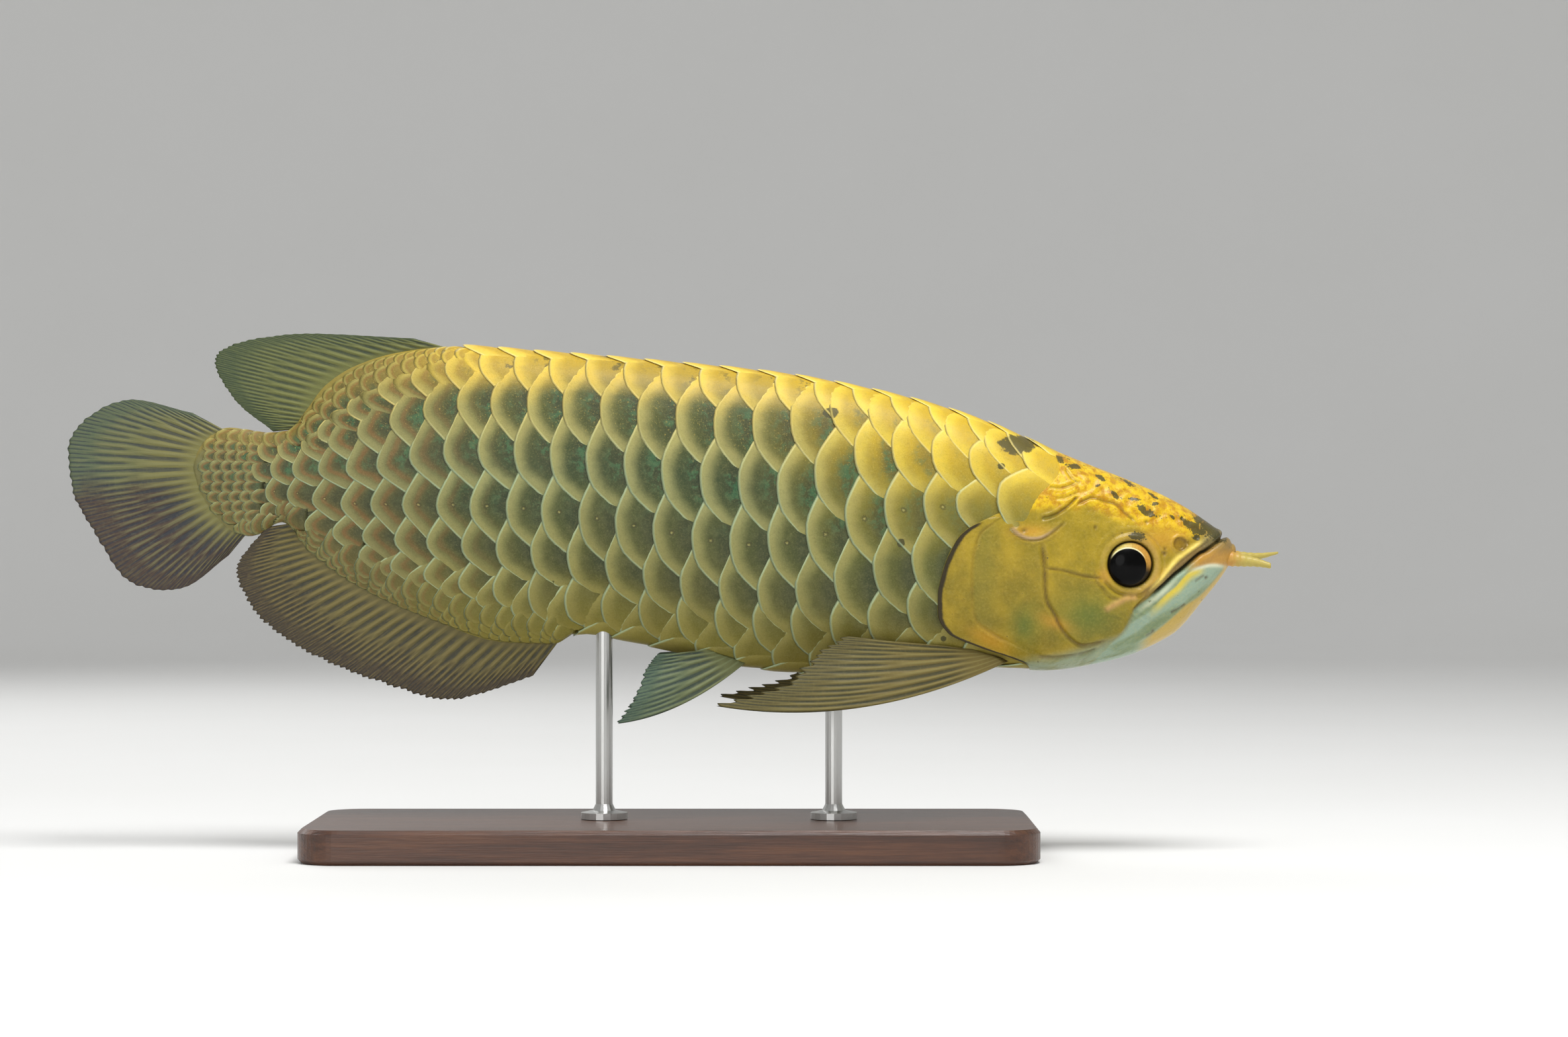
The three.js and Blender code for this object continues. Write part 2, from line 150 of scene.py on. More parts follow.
class Body:
    """The right flank as a table of points. A share runs round it, from the back, 0, to the belly's keel, 1.
    A share below 0 or above 1 has gone over to the left side."""

    LENGTH_STEPS = 490
    ROUND_STEPS = 200
    ANGLE_STEPS = 60
    HEIGHTS = np.linspace(70, 245, 701)

    def __init__(self):
        self.x = np.linspace(TAIL_END_X, SNOUT_X, self.LENGTH_STEPS)
        self.step = self.x[1] - self.x[0]
        self.share = np.linspace(0, 1, self.ROUND_STEPS)
        rings = [self.ring(x) for x in self.x]
        self.points = np.array([points for points, _ in rings])
        self.girth = np.array([length for _, length in rings])
        along = np.gradient(self.points, axis=0)
        around = np.gradient(self.points, axis=1)
        outward = np.cross(around, along)
        outward[:, [0, -1], 1] = 0
        self.outward = outward / np.linalg.norm(outward, axis=2, keepdims=True)
        self.shares = np.array([np.interp(-self.HEIGHTS, -ring[:, 2], self.share) for ring in self.points])

    def ring(self, x):
        """One half section, as points at equal steps along it, and its length."""
        quarter = np.linspace(0, 1, self.ANGLE_STEPS)
        eased = quarter**2 * (3 - 2 * quarter)
        angle = np.concatenate([eased, 1 + eased[1:]]) * math.pi / 2
        top, bottom = back(x), belly(x)
        middle = bottom + (top - bottom) * widest_height(x)
        up = np.cos(angle)
        power = 2 / np.where(up > 0, upper_roundness(x), lower_roundness(x))
        reach = np.where(up > 0, top - middle, middle - bottom)
        y = -half_width(x) * np.clip(np.sin(angle), 0, 1) ** power
        z = middle + np.sign(up) * reach * np.abs(up) ** power
        run = np.concatenate([[0], np.cumsum(np.hypot(np.diff(y), np.diff(z)))])
        even = self.share * run[-1]
        ring = np.stack([np.full_like(even, x), np.interp(even, run, y), np.interp(even, run, z)], axis=1)
        return ring, run[-1]

    def look_up(self, table, x, share):
        """A table's value at a place on the body."""
        left = (share < 0) | (share > 1)
        share = np.abs(np.where(share > 1, 2 - share, share))
        i, along = cell((x - self.x[0]) / self.step, self.LENGTH_STEPS)
        j, around = cell(share * (self.ROUND_STEPS - 1), self.ROUND_STEPS)
        along, around = along[..., None], around[..., None]
        low = table[i, j] * (1 - around) + table[i, j + 1] * around
        high = table[i + 1, j] * (1 - around) + table[i + 1, j + 1] * around
        value = low * (1 - along) + high * along
        value[..., 1] *= np.where(left, -1, 1)
        return value

    def place(self, x, share, lift):
        """The points at x and share, lifted off the body's surface."""
        x, share = np.broadcast_arrays(np.asarray(x, float), share)
        outward = self.look_up(self.outward, x, share)
        return self.look_up(self.points, x, share) + outward * np.asarray(lift)[..., None]

    def girth_at(self, x):
        """The length round one side, from the back to the keel."""
        return np.interp(x, self.x, self.girth)

    def share_at(self, x, z):
        """The share at which the flank at x has the height z."""
        x, z = np.broadcast_arrays(np.asarray(x, float), z)
        i, along = cell((x - self.x[0]) / self.step, self.LENGTH_STEPS)
        j, up = cell((z - self.HEIGHTS[0]) / (self.HEIGHTS[1] - self.HEIGHTS[0]), len(self.HEIGHTS))
        low = self.shares[i, j] + (self.shares[i, j + 1] - self.shares[i, j]) * up
        high = self.shares[i + 1, j] + (self.shares[i + 1, j + 1] - self.shares[i + 1, j]) * up
        return low + (high - low) * along


body = Body()


# Making meshes


def grid_mesh(name, across, along, place):
    """A closed mesh from one folded grid. place takes each grid point's two shares and gives its point and
    marks."""
    shape = bmesh.new()
    shape.loops.layers.uv.new(BAKE_MAP)
    bmesh.ops.create_grid(shape, x_segments=across, y_segments=along, size=0.5, calc_uvs=True)
    mesh = bpy.data.meshes.new(name)
    shape.to_mesh(mesh)
    shape.free()
    flat = read_points(mesh) + 0.5
    points, marks = place(flat[:, 0], flat[:, 1])
    write_points(mesh, points * MM)
    write_marks(mesh, marks)
    return closed(mesh)


def read_points(mesh):
    flat = np.zeros(len(mesh.vertices) * 3, np.float32)
    mesh.vertices.foreach_get("co", flat)
    return flat.reshape(-1, 3).astype(float)


def write_points(mesh, points):
    mesh.vertices.foreach_set("co", np.asarray(points, np.float32).ravel())


def write_marks(mesh, marks):
    """Stores each mark as an attribute that the materials read."""
    for name, values in marks.items():
        attribute = mesh.attributes.new(name, "FLOAT", "POINT")
        attribute.data.foreach_set("value", np.asarray(values, np.float32).ravel())


def closed(mesh):
    """Joins the grid's seams and turns the faces outward."""
    shape = bmesh.new()
    shape.from_mesh(mesh)
    bmesh.ops.remove_doubles(shape, verts=shape.verts, dist=MERGE_DISTANCE)
    bmesh.ops.recalc_face_normals(shape, faces=shape.faces)
    shape.to_mesh(mesh)
    shape.free()
    mesh.shade_smooth()
    return mesh


def add_piece(mesh, material, replaces=()):
    """Puts a finished mesh in the scene, riding on the part's one body."""
    mesh.materials.clear()
    mesh.materials.append(material)
    piece = bpy.data.objects.new(mesh.name, mesh)
    bpy.context.scene.collection.objects.link(piece)
    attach(piece, "root")
    if replaces:
        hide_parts(*replaces)
    return piece


# Shader nodes


def paint(red, green, blue):
    """A colour from the usual 0 to 255 values."""
    shares = [value / 255 for value in (red, green, blue)]
    linear = [s / 12.92 if s <= 0.04045 else ((s + 0.055) / 1.055) ** 2.4 for s in shares]
    return (*linear, 1.0)


class Wire:
    """One output of a material's nodes. Sums on wires add Math nodes."""

    def __init__(self, finish, socket):
        self.finish = finish
        self.socket = socket

    def sum(self, operation, first, second):
        return self.finish.node("ShaderNodeMath", {"operation": operation}, {0: first, 1: second})

    def __add__(self, other):
        return self.sum("ADD", self, other)

    def __radd__(self, other):
        return self.sum("ADD", other, self)

    def __sub__(self, other):
        return self.sum("SUBTRACT", self, other)

    def __rsub__(self, other):
        return self.sum("SUBTRACT", other, self)

    def __mul__(self, other):
        return self.sum("MULTIPLY", self, other)

    def __rmul__(self, other):
        return self.sum("MULTIPLY", other, self)

    def __truediv__(self, other):
        return self.sum("DIVIDE", self, other)

    def __pow__(self, other):
        return self.sum("POWER", self, other)


class Finish:
    """A material made of nodes."""

    def __init__(self, name):
        self.material = bpy.data.materials.new(name)
        self.material.use_nodes = True
        self.tree = self.material.node_tree
        self.tree.nodes.clear()

    def node(self, kind, settings=None, sockets=None, output=0):
        made = self.tree.nodes.new(kind)
        for name, value in (settings or {}).items():
            if name == "stops":
                self.set_stops(made.color_ramp, value)
            else:
                setattr(made, name, value)
        for name, value in (sockets or {}).items():
            if isinstance(value, Wire):
                self.tree.links.new(value.socket, made.inputs[name])
            else:
                made.inputs[name].default_value = value
        return Wire(self, made.outputs[output] if made.outputs else None)

    def set_stops(self, ramp, stops):
        while len(ramp.elements) < len(stops):
            ramp.elements.new(1.0)
        for element, (place, colour) in zip(ramp.elements, stops):
            element.position = place
            element.color = colour

    def attribute(self, name):
        return self.node("ShaderNodeAttribute", {"attribute_name": name}, output=2)

    def coordinates(self):
        return self.node("ShaderNodeTexCoord", output=3)

    def axis(self, number):
        """One Object coordinate: 0 along the fish, 1 across it and 2 up."""
        return self.node("ShaderNodeSeparateXYZ", sockets={0: self.coordinates()}, output=number)

    def noise(self, scale, detail=3.0, rough=0.55, stretch=(1, 1, 1)):
        """Cloudy noise around 0.5, with scale in spots per metre."""
        mapped = self.node("ShaderNodeMapping", sockets={"Vector": self.coordinates(), "Scale": stretch})
        sockets = {"Vector": mapped, "Scale": scale, "Detail": detail, "Roughness": rough}
        return self.node("ShaderNodeTexNoise", sockets=sockets)

    def fibres(self, fan, out):
        """Noise drawn out along a fin's rays."""
        place = self.node("ShaderNodeCombineXYZ", sockets={0: fan * 260.0, 1: out * 6.0})
        return self.node("ShaderNodeTexNoise", sockets={"Vector": place, "Scale": 1.0, "Detail": 3.0})

    def streaks(self, scale, turn, stretch):
        """Noise drawn out along one direction of the side view."""
        sockets = {"Vector": self.coordinates(), "Rotation": (0, turn, 0), "Scale": (stretch, 1, 1)}
        mapped = self.node("ShaderNodeMapping", {"vector_type": "TEXTURE"}, sockets)
        return self.node("ShaderNodeTexNoise", sockets={"Vector": mapped, "Scale": scale, "Detail": 4.0})

    def smooth(self, value, low, high):
        """0 below low, 1 above high."""
        sockets = {"Value": value, "From Min": low, "From Max": high}
        return self.node("ShaderNodeMapRange", {"interpolation_type": "SMOOTHSTEP"}, sockets)

    def ramp(self, value, stops):
        return self.node("ShaderNodeValToRGB", {"stops": stops}, {0: value})

    def mix(self, share, first, second):
        return self.node("ShaderNodeMix", {"data_type": "RGBA"}, {0: share, 6: first, 7: second}, output=2)

    def bumps(self, height, depth, under=None):
        """A bump map whose full height is that many metres."""
        sockets = {"Height": height, "Distance": depth, "Strength": 1.0}
        if under:
            sockets["Normal"] = under
        return self.node("ShaderNodeBump", sockets=sockets)

    def surface(self, **sockets):
        """Finishes the material with one surface shader, and gives the material."""
        named = {name.replace("_", " "): value for name, value in sockets.items()}
        shader = self.node("ShaderNodeBsdfPrincipled", sockets=named)
        self.node("ShaderNodeOutputMaterial", sockets={"Surface": shader})
        return self.material


# Skin and scale finishes, which share the flank's markings and a thin film of water

WET = {"Specular_IOR_Level": 0.25, "Coat_IOR": 1.33}


def flank_markings(finish):
    """The colours of a scale's middle and rim at each place on the flank."""
    share = finish.attribute("share")
    x = finish.axis(0)
    fore = finish.smooth(x, 0.03, 0.12)
    aft = 1 - finish.smooth(x, -0.15, -0.08)
    middle = finish.ramp(share, [
        (0.0, paint(214, 174, 44)), (0.13, paint(172, 144, 42)), (0.2, paint(80, 84, 38)),
        (0.42, paint(48, 64, 36)), (0.6, paint(70, 78, 38)), (0.75, paint(80, 82, 38)),
        (0.88, paint(120, 114, 48)), (1.0, paint(150, 140, 64)),
    ])
    rim = finish.ramp(share, [
        (0.0, paint(248, 214, 76)), (0.14, paint(226, 192, 76)), (0.24, paint(170, 160, 92)),
        (0.45, paint(148, 148, 94)), (0.7, paint(148, 144, 84)), (0.86, paint(150, 142, 74)),
        (1.0, paint(162, 150, 76)),
    ])
    fore_middle = finish.ramp(share, [
        (0.0, paint(222, 182, 32)), (0.25, paint(194, 162, 34)), (0.4, paint(134, 122, 38)),
        (0.6, paint(84, 88, 36)), (0.75, paint(92, 92, 38)), (0.88, paint(132, 118, 44)),
        (1.0, paint(156, 138, 54)),
    ])
    fore_rim = finish.ramp(share, [
        (0.0, paint(246, 214, 60)), (0.27, paint(224, 194, 62)), (0.42, paint(176, 160, 76)),
        (0.65, paint(142, 138, 76)), (0.85, paint(148, 138, 70)), (1.0, paint(162, 150, 76)),
    ])
    middle = finish.mix(fore, middle, fore_middle)
    rim = finish.mix(fore, rim, fore_rim)
    middle = finish.mix(aft * 0.8, middle, paint(92, 84, 46))
    rim = finish.mix(aft * 0.8, rim, paint(138, 136, 88))
    return middle, rim


# Dark spots on the scales, as x, z, half length and half height in metres on the side view
SCALE_SPOTS = (
    (0.1612, 0.1922, 0.0088, 0.0046), (0.107, 0.1465, 0.0016, 0.0021), (0.127, 0.1015, 0.0013, 0.0013),
    (0.1535, 0.182, 0.0019, 0.0015), (0.0745, 0.2068, 0.0034, 0.0026),
)


def scale_spots(finish, ragged):
    """1 inside the dark spots, with ragged edges."""
    x, z = finish.axis(0), finish.axis(2)
    total = 0.0
    for sx, sz, length, height in SCALE_SPOTS:
        along, up = (x - sx) / length, (z - sz) / height
        total = 1 - finish.smooth(along * along + up * up + ragged, 0.8, 1.2) + total
    return total


# Colours of the scales' markings
OLIVE_AND_SHADOW = paint(40, 52, 36)
TEAL = paint(30, 104, 70)
BACK_PATCH = paint(66, 62, 30)
GOLD_SPECK = paint(226, 184, 66)
RUST = paint(150, 92, 52)
PALE_MOTTLE = paint(150, 146, 96)
PALE_GRAIN = paint(186, 180, 118)
DARK_GRAIN = paint(44, 46, 24)
DULL_TONE = paint(96, 88, 50)
PORE_RING = paint(62, 58, 34)
PORE_MIDDLE = paint(186, 176, 110)
SPOT_GREY = paint(66, 64, 34)
GOLD_EDGE_HIGHLIGHT = paint(236, 216, 132)
TEAL_EDGE_HIGHLIGHT = paint(180, 200, 160)


def scale_finish():
    finish = Finish("pearly scale")
    middle, rim_colour = flank_markings(finish)
    rim, size, tone, share, across = (
        finish.attribute(name) for name in ("rim", "size", "tone", "share", "across")
    )
    x = finish.axis(0)
    clouds = finish.noise(95, 4)
    soft = finish.noise(260, 4, 0.65)
    grain = finish.noise(1300, 3, 0.7)
    fine = finish.noise(3200, 2, 0.6)
    inward = rim / size + (clouds - 0.5) * 0.25 + (soft - 0.5) * 0.12
    colour = finish.mix(finish.smooth(inward, 0.06, 0.5), rim_colour, middle)
    # The covered side is darkest away from the head, with teal on the upper flank. Its dark olive is partly
    # the scale's own dark middle and partly a painted shadow of the scale that lies over it
    nape = finish.smooth(x, 0.1, 0.15) * (1 - finish.smooth(share, 0.4, 0.6))
    deep = finish.smooth(inward, 0.42, 0.92) * (1 - nape * 0.85)
    flank = finish.smooth(share, 0.1, 0.22)
    colour = finish.mix(deep * flank * (1 - finish.smooth(share, 0.7, 0.9)) * 0.75, colour, OLIVE_AND_SHADOW)
    teal = finish.smooth(soft + (clouds - 0.5) * 0.6, 0.46, 0.62) * deep * flank
    colour = finish.mix(teal * (1 - finish.smooth(share, 0.42, 0.62)) * 0.6, colour, TEAL)
    # Dark patches on the golden top row and golden specks on the next
    patches = finish.smooth(soft + (clouds - 0.5) * 0.8, 0.54, 0.64) * deep * (1 - flank)
    colour = finish.mix(patches * (1 - finish.smooth(x, 0.1, 0.17)) * 0.75, colour, BACK_PATCH)
    specks = finish.smooth(grain, 0.6, 0.72) * (1 - finish.smooth(share, 0.26, 0.42))
    colour = finish.mix(specks * finish.smooth(inward, 0.2, 0.5) * 0.55, colour, GOLD_SPECK)
    # Rusty arcs towards the tail
    arc = finish.smooth(inward, 0.3, 0.42) * (1 - finish.smooth(inward, 0.45, 0.62))
    colour = finish.mix(arc * (1 - finish.smooth(x, -0.16, -0.06)) * soft * 0.75, colour, RUST)
    # Mottling and grain
    colour = finish.mix(finish.smooth(soft, 0.35, 0.7) * 0.12, colour, PALE_MOTTLE)
    colour = finish.mix(finish.smooth(grain, 0.45, 0.8) * 0.14, colour, PALE_GRAIN)
    colour = finish.mix(finish.smooth(1 - grain, 0.5, 0.8) * 0.25, colour, DARK_GRAIN)
    colour = finish.mix(tone * 0.16, colour, DULL_TONE)
    # The lateral row's pores
    ahead = rim / size - 0.52
    aside = across / size + 0.03
    gap = (ahead * ahead * 0.8 + aside * aside) ** 0.5 * 1.3
    ragged = gap + (grain - 0.5) * 0.12
    pore = (1 - finish.smooth(ragged, 0.01, 0.06)) * finish.attribute("pore")
    ring = finish.smooth(ragged, 0.03, 0.07) * (1 - finish.smooth(ragged, 0.07, 0.12))
    colour = finish.mix(ring * finish.attribute("pore") * 0.5, colour, PORE_RING)
    colour = finish.mix(pore * 0.6, colour, PORE_MIDDLE)
    colour = finish.mix(scale_spots(finish, (soft - 0.5) * 2.4) * 0.9, colour, SPOT_GREY)
    # A thin pale edge, a painted highlight along the scale's free margin
    edge = 1 - finish.smooth(rim / size, 0.02, 0.085)
    edge_highlight_colour = finish.mix(finish.smooth(share, 0.2, 0.45), GOLD_EDGE_HIGHLIGHT, TEAL_EDGE_HIGHLIGHT)
    colour = finish.mix(edge * 0.8, colour, edge_highlight_colour)
    normal = finish.bumps(soft * 0.7 + grain * 0.5 + fine * 0.3 - pore, 0.0003)
    return finish.surface(
        Base_Color=colour, Roughness=0.42, Normal=normal, Coat_Weight=0.1, Coat_Roughness=0.2, **WET,
    )


# Colours of the bare head
CHEEK_OLIVE, CHEEK_GOLD, CHEEK_LIGHT = paint(132, 116, 26), paint(170, 144, 34), paint(184, 150, 48)
CROWN_ORANGE, CROWN_GOLD, CROWN_HIGHLIGHT = paint(184, 132, 12), paint(222, 184, 24), paint(244, 208, 56)
JAW_SHADE, JAW_BLUE, JAW_TIP_GREY = paint(122, 140, 100), paint(150, 172, 150), paint(112, 108, 74)
HEAD_LIGHT_GRAIN, HEAD_DARK_GRAIN = paint(232, 206, 110), paint(96, 78, 26)
RECESS_SHADE_BROWN, SPOT_BLACK, FRECKLE_BROWN = paint(82, 56, 14), paint(62, 60, 32), paint(110, 84, 32)
SLOT_SHADE_BLACK, GILL_RIM_BROWN = paint(22, 17, 10), paint(36, 28, 14)

# The head's markings, each laid over the ones before it, as attribute, strength and colour. The jaw's own
# colour is streaked.
HEAD_LAYERS = (
    ("membrane", 0.5, paint(112, 110, 40)), ("green", 0.75, paint(86, 110, 44)),
    ("warm", 0.6, paint(208, 152, 50)), ("jaw", 1.0, None), ("orbit", 0.6, paint(184, 148, 72)),
    ("upper_lip", 0.9, paint(120, 96, 58)), ("stripe", 0.9, paint(240, 212, 104)),
    ("chin", 0.9, paint(200, 166, 76)), ("lip", 0.95, paint(232, 208, 70)),
    ("brown", 0.9, paint(190, 136, 44)), ("white", 0.85, paint(226, 226, 196)),
    # The tab's edge colour is a painted highlight along its lower edge
    ("fold", 0.7, paint(206, 160, 100)), ("tab_edge", 0.6, paint(222, 190, 160)),
)


def skin_finish():
    finish = Finish("wet skin")
    middle, rim_colour = flank_markings(finish)
    trunk = finish.mix(0.35, middle, rim_colour)
    x = finish.axis(0)
    clouds = finish.noise(75, 4)
    blotches = finish.noise(240, 4, 0.65)
    grain = finish.noise(800, 3, 0.65)
    gold = finish.attribute("gold")
    cheek = finish.mix(finish.smooth(clouds, 0.25, 0.75), CHEEK_OLIVE, CHEEK_GOLD)
    cheek = finish.mix(finish.smooth(blotches, 0.5, 0.75) * 0.25, cheek, CHEEK_LIGHT)
    crown = finish.mix(finish.smooth(blotches, 0.36, 0.6), CROWN_ORANGE, CROWN_GOLD)
    # Patches of painted highlight on the crown
    crown = finish.mix(finish.smooth(clouds, 0.55, 0.7) * 0.5, crown, CROWN_HIGHLIGHT)
    head = finish.mix(finish.smooth(gold + (clouds - 0.5) * 0.8, 0.25, 0.85), cheek, crown)
    streaks = finish.streaks(110, -0.63, 5)
    jaw = finish.mix(finish.smooth(streaks, 0.38, 0.6), JAW_SHADE, JAW_BLUE)
    for name, strength, colour in HEAD_LAYERS:
        head = finish.mix(finish.attribute(name) * strength, head, colour or jaw)
    tip = finish.smooth(finish.axis(2), 0.139, 0.146) * finish.smooth(x, 0.244, 0.25)
    head = finish.mix(tip * 0.6, head, JAW_TIP_GREY)
    head = finish.mix(finish.smooth(grain, 0.42, 0.8) * 0.12, head, HEAD_LIGHT_GRAIN)
    head = finish.mix(finish.smooth(1 - grain, 0.52, 0.82) * 0.16, head, HEAD_DARK_GRAIN)
    # Painted shade in the seams, grooves, pits and nostril
    crease = finish.attribute("crease") * (finish.smooth(blotches, 0.25, 0.6) * 0.5 + 0.5)
    head = finish.mix(crease * 0.85, head, RECESS_SHADE_BROWN)
    mark = finish.attribute("mark") + (blotches - 0.5) * 2.2 + (grain - 0.5) * 1.1
    head = finish.mix(finish.smooth(mark, 0.44, 0.62) * 0.9, head, SPOT_BLACK)
    freckles = finish.smooth(finish.noise(560, 2, 0.5), 0.66, 0.74) * finish.smooth(gold, 0.4, 0.9)
    head = finish.mix(freckles * 0.6, head, FRECKLE_BROWN)
    # Painted shade in the mouth's slot and in the gap round the eye
    head = finish.mix(finish.attribute("dark"), head, SLOT_SHADE_BLACK)
    rim = finish.attribute("gill_rim") + (blotches - 0.5) * 0.5
    head = finish.mix(finish.smooth(rim, 0.35, 0.75) * 0.95, head, GILL_RIM_BROWN)
    colour = finish.mix(finish.attribute("bare"), trunk, head)
    normal = finish.bumps(grain * 0.3 + blotches * 0.9 + clouds * 1.0, 0.0006)
    return finish.surface(
        Base_Color=colour, Roughness=0.36, Normal=normal, Coat_Weight=0.25, Coat_Roughness=0.12, **WET,
    )


# The skin, one closed surface from the tail base to the lips

SKIN_COLUMNS = 380
SNOUT_CAP_RINGS = 7
SNOUT_CAP_BULGE = 2.2
EDGE_FALLOFF = 70.0
EDGE_SEARCH_TURNS = 120
EDGE_SEARCH_PACE = 0.12
COVER_RISE = 0.2
COVER_LIP_RISE = 0.6
COVER_LIP_WIDTH = 2.2
COVER_RIM_WIDTH = 2.6
SLIT_DEPTH = 0.9
SLIT_WIDTH = 3.0
NAPE_DROP = 0.35
NAPE_WIDTH = 5.0

# The head's rear edge on the side view, as x for each height: gill cover below, nape above
head_edge = smooth_line([
    (80, 170), (89, 167), (93, 159), (97.5, 145), (104.5, 129), (112.5, 124.5), (122, 124.3),
    (131, 126), (137.5, 128), (144, 131), (149, 134), (153, 138.5), (157, 146), (161, 155), (165, 164),
    (170, 172.5), (175, 178), (181, 181.5), (188, 180), (194, 174.5), (200, 169),
])

ring_spacing = smooth_line([
    (TAIL_END_X, 1.4), (-170, 1.4), (-150, 4), (90, 5), (122, 1.2), (146, 0.8), (149, 0.32), (151, 0.32),
    (155, 0.6), (SNOUT_X, 0.45),
])


def ring_places():
    """The x of each ring of the skin, close together on the head, with one ring on the head's edge."""
    behind, ahead = [HEAD_EDGE_X], [HEAD_EDGE_X]
    while behind[-1] > TAIL_END_X:
        behind.append(behind[-1] - ring_spacing(behind[-1]))
    while ahead[-1] < SNOUT_X:
        ahead.append(ahead[-1] + ring_spacing(ahead[-1]))
    return np.array([TAIL_END_X] + behind[:0:-1][1:] + ahead[:-1] + [SNOUT_X])


def edge_shift(share):
    """How far the ring on the head's edge moves along x, for each place round the body."""
    x = np.full_like(share, HEAD_EDGE_X)
    for _ in range(EDGE_SEARCH_TURNS):
        z = body.look_up(body.points, x, share)[..., 2]
        x += EDGE_SEARCH_PACE * (head_edge(z) - x)
    return x - HEAD_EDGE_X


class SideLine:
    """A smooth line on the side view, and the distance from it of places there."""

    STEPS = 6

    def __init__(self, *points):
        count = (len(points) - 1) * self.STEPS
        self.points = spline(points, np.linspace(0, 1, count + 1))

    def measure(self, x, z):
        """The distance, the same with a sign, plus above or ahead of the line, and the share along it."""
        best = np.full(x.shape, 1e9)
        side = np.zeros(x.shape)
        run = np.zeros(x.shape)
        last = len(self.points) - 1
        for k in range(last):
            (ax, az), (bx, bz) = self.points[k], self.points[k + 1]
            dx, dz = bx - ax, bz - az
            t = np.clip(((x - ax) * dx + (z - az) * dz) / (dx * dx + dz * dz), 0, 1)
            gap = np.hypot(x - ax - t * dx, z - az - t * dz)
            nearer = gap < best
            best = np.where(nearer, gap, best)
            side = np.where(nearer, np.sign(dx * (z - az) - dz * (x - ax)), side)
            run = np.where(nearer, (k + t) / last, run)
        return best, best * side, run


# Lines of the head on the side view

MOUTH = SideLine((193, 86), (204, 98), (211, 106), (215.6, 115), (222.4, 120.6), (229.8, 126.8),
                 (234.7, 131.4), (238.4, 134.2), (242.7, 137.9), (247, 141.3), (250.1, 142.8), (256.5, 147.2),
                 (262, 151.5))
LIP_TOP = SideLine((215, 114.5), (219, 119), (227.5, 127.5), (236, 136), (243.5, 142), (253, 148))
LIP_BOTTOM = SideLine((221, 113), (225, 117), (230, 122), (235, 126), (238.5, 130), (242, 133), (247, 134.7),
                      (253, 135.7), (260, 135))
CHIN = SideLine((205, 96.5), (219, 101), (226, 105.6), (232.3, 110.8), (239.6, 117.5), (246.4, 121.9),
                (252, 127.4), (257.6, 134))
JAW_REAR = SideLine((190, 88), (196, 94.5), (203, 99), (209, 102.5), (213, 107.5), (215.6, 114))
JAW_SLITS = (SideLine((233, 113.6), (237, 115.6), (240.3, 117.8)), SideLine((221.8, 102.7), (224.8, 104.3)),
             SideLine((244.5, 128), (247, 129.8), (249, 131)))
OPERCLE = SideLine((151, 156.5), (144, 151), (141.5, 144.5), (140, 136), (140, 124.5), (141.5, 111),
                   (149.5, 104), (159, 99))
CHEEK = SideLine((172, 148.5), (173.5, 136), (174.5, 120.5), (178.5, 113), (181, 107.5), (185.5, 102),
                 (191, 98.5), (197.5, 99), (205, 101))
CHEEK_SEAM = SideLine((173.5, 134.5), (181.5, 133.5), (191, 131), (201.5, 129.5))
COVER_SEAM = SideLine((166.5, 122), (162.5, 113), (159, 104))
THROAT = SideLine((171, 93), (178.5, 92.5), (191, 94), (199, 97))
BROW = SideLine((188.5, 163.8), (193, 166.3), (196.5, 167.3), (202, 165.7), (207, 164.4), (211.5, 160),
                (217, 155.8))
TAB_TOP = SideLine((172, 157.3), (178, 159), (184.5, 163.3), (189.5, 168.2))
TAB_BOTTOM = SideLine((157, 153.5), (160, 150.3), (165, 147.8), (171.5, 147.8), (177.5, 151), (184, 156.5))
NAPE_FOLDS = (
    SideLine((176, 172.5), (182, 172), (189, 174.5)), SideLine((179, 167), (184, 167.5), (190, 170)),
    SideLine((184, 181), (187, 176.5), (190.5, 174)),
)
CHEEK_FOLDS = (
    SideLine((201, 129), (205, 125), (208, 123), (211.5, 122.5), (218, 122.5), (225, 127)),
    SideLine((200, 126.5), (203, 121.5), (208.5, 119.8)),
    SideLine((197, 133), (198, 128), (201, 124)),
)
FLESH_FOLD = SideLine((203.3, 115.8), (208, 118.5), (212, 120.5), (215.6, 121))
CHEEK_STRIPE = SideLine((220, 121), (223.6, 125), (227.3, 128.6), (232.3, 134.8), (236, 139.1),
                        (242.1, 143.4), (248.3, 147.1))

# Grooves as line, depth, half width and darkness of the painted shade in them
GROOVES = (
    (OPERCLE, 0.3, 0.6, 0.3), (CHEEK, 0.9, 0.8, 0.85), (CHEEK_SEAM, 0.45, 0.65, 0.7),
    (COVER_SEAM, 0.3, 1.0, 0.12), (THROAT, 0.8, 0.8, 0.6), (BROW, 0.7, 0.7, 0.8),
    (TAB_TOP, 0.9, 0.7, 0.9), (TAB_BOTTOM, 0.6, 0.6, 0.5), (NAPE_FOLDS[0], 0.5, 0.6, 0.6),
    (NAPE_FOLDS[1], 0.5, 0.7, 0.4), (NAPE_FOLDS[2], 0.5, 0.6, 0.5), (LIP_TOP, 0.4, 0.6, 0.4),
    (JAW_REAR, 0.35, 0.8, 0.2), (CHEEK_FOLDS[0], 0.55, 0.6, 0.35), (CHEEK_FOLDS[1], 0.5, 0.6, 0.3),
    (CHEEK_FOLDS[2], 0.4, 0.5, 0.3), (JAW_SLITS[0], 0.5, 0.6, 0.8), (JAW_SLITS[1], 0.4, 0.6, 0.7),
    (JAW_SLITS[2], 0.3, 0.6, 0.5),
)

NOSTRIL = (237.3, 145.7)

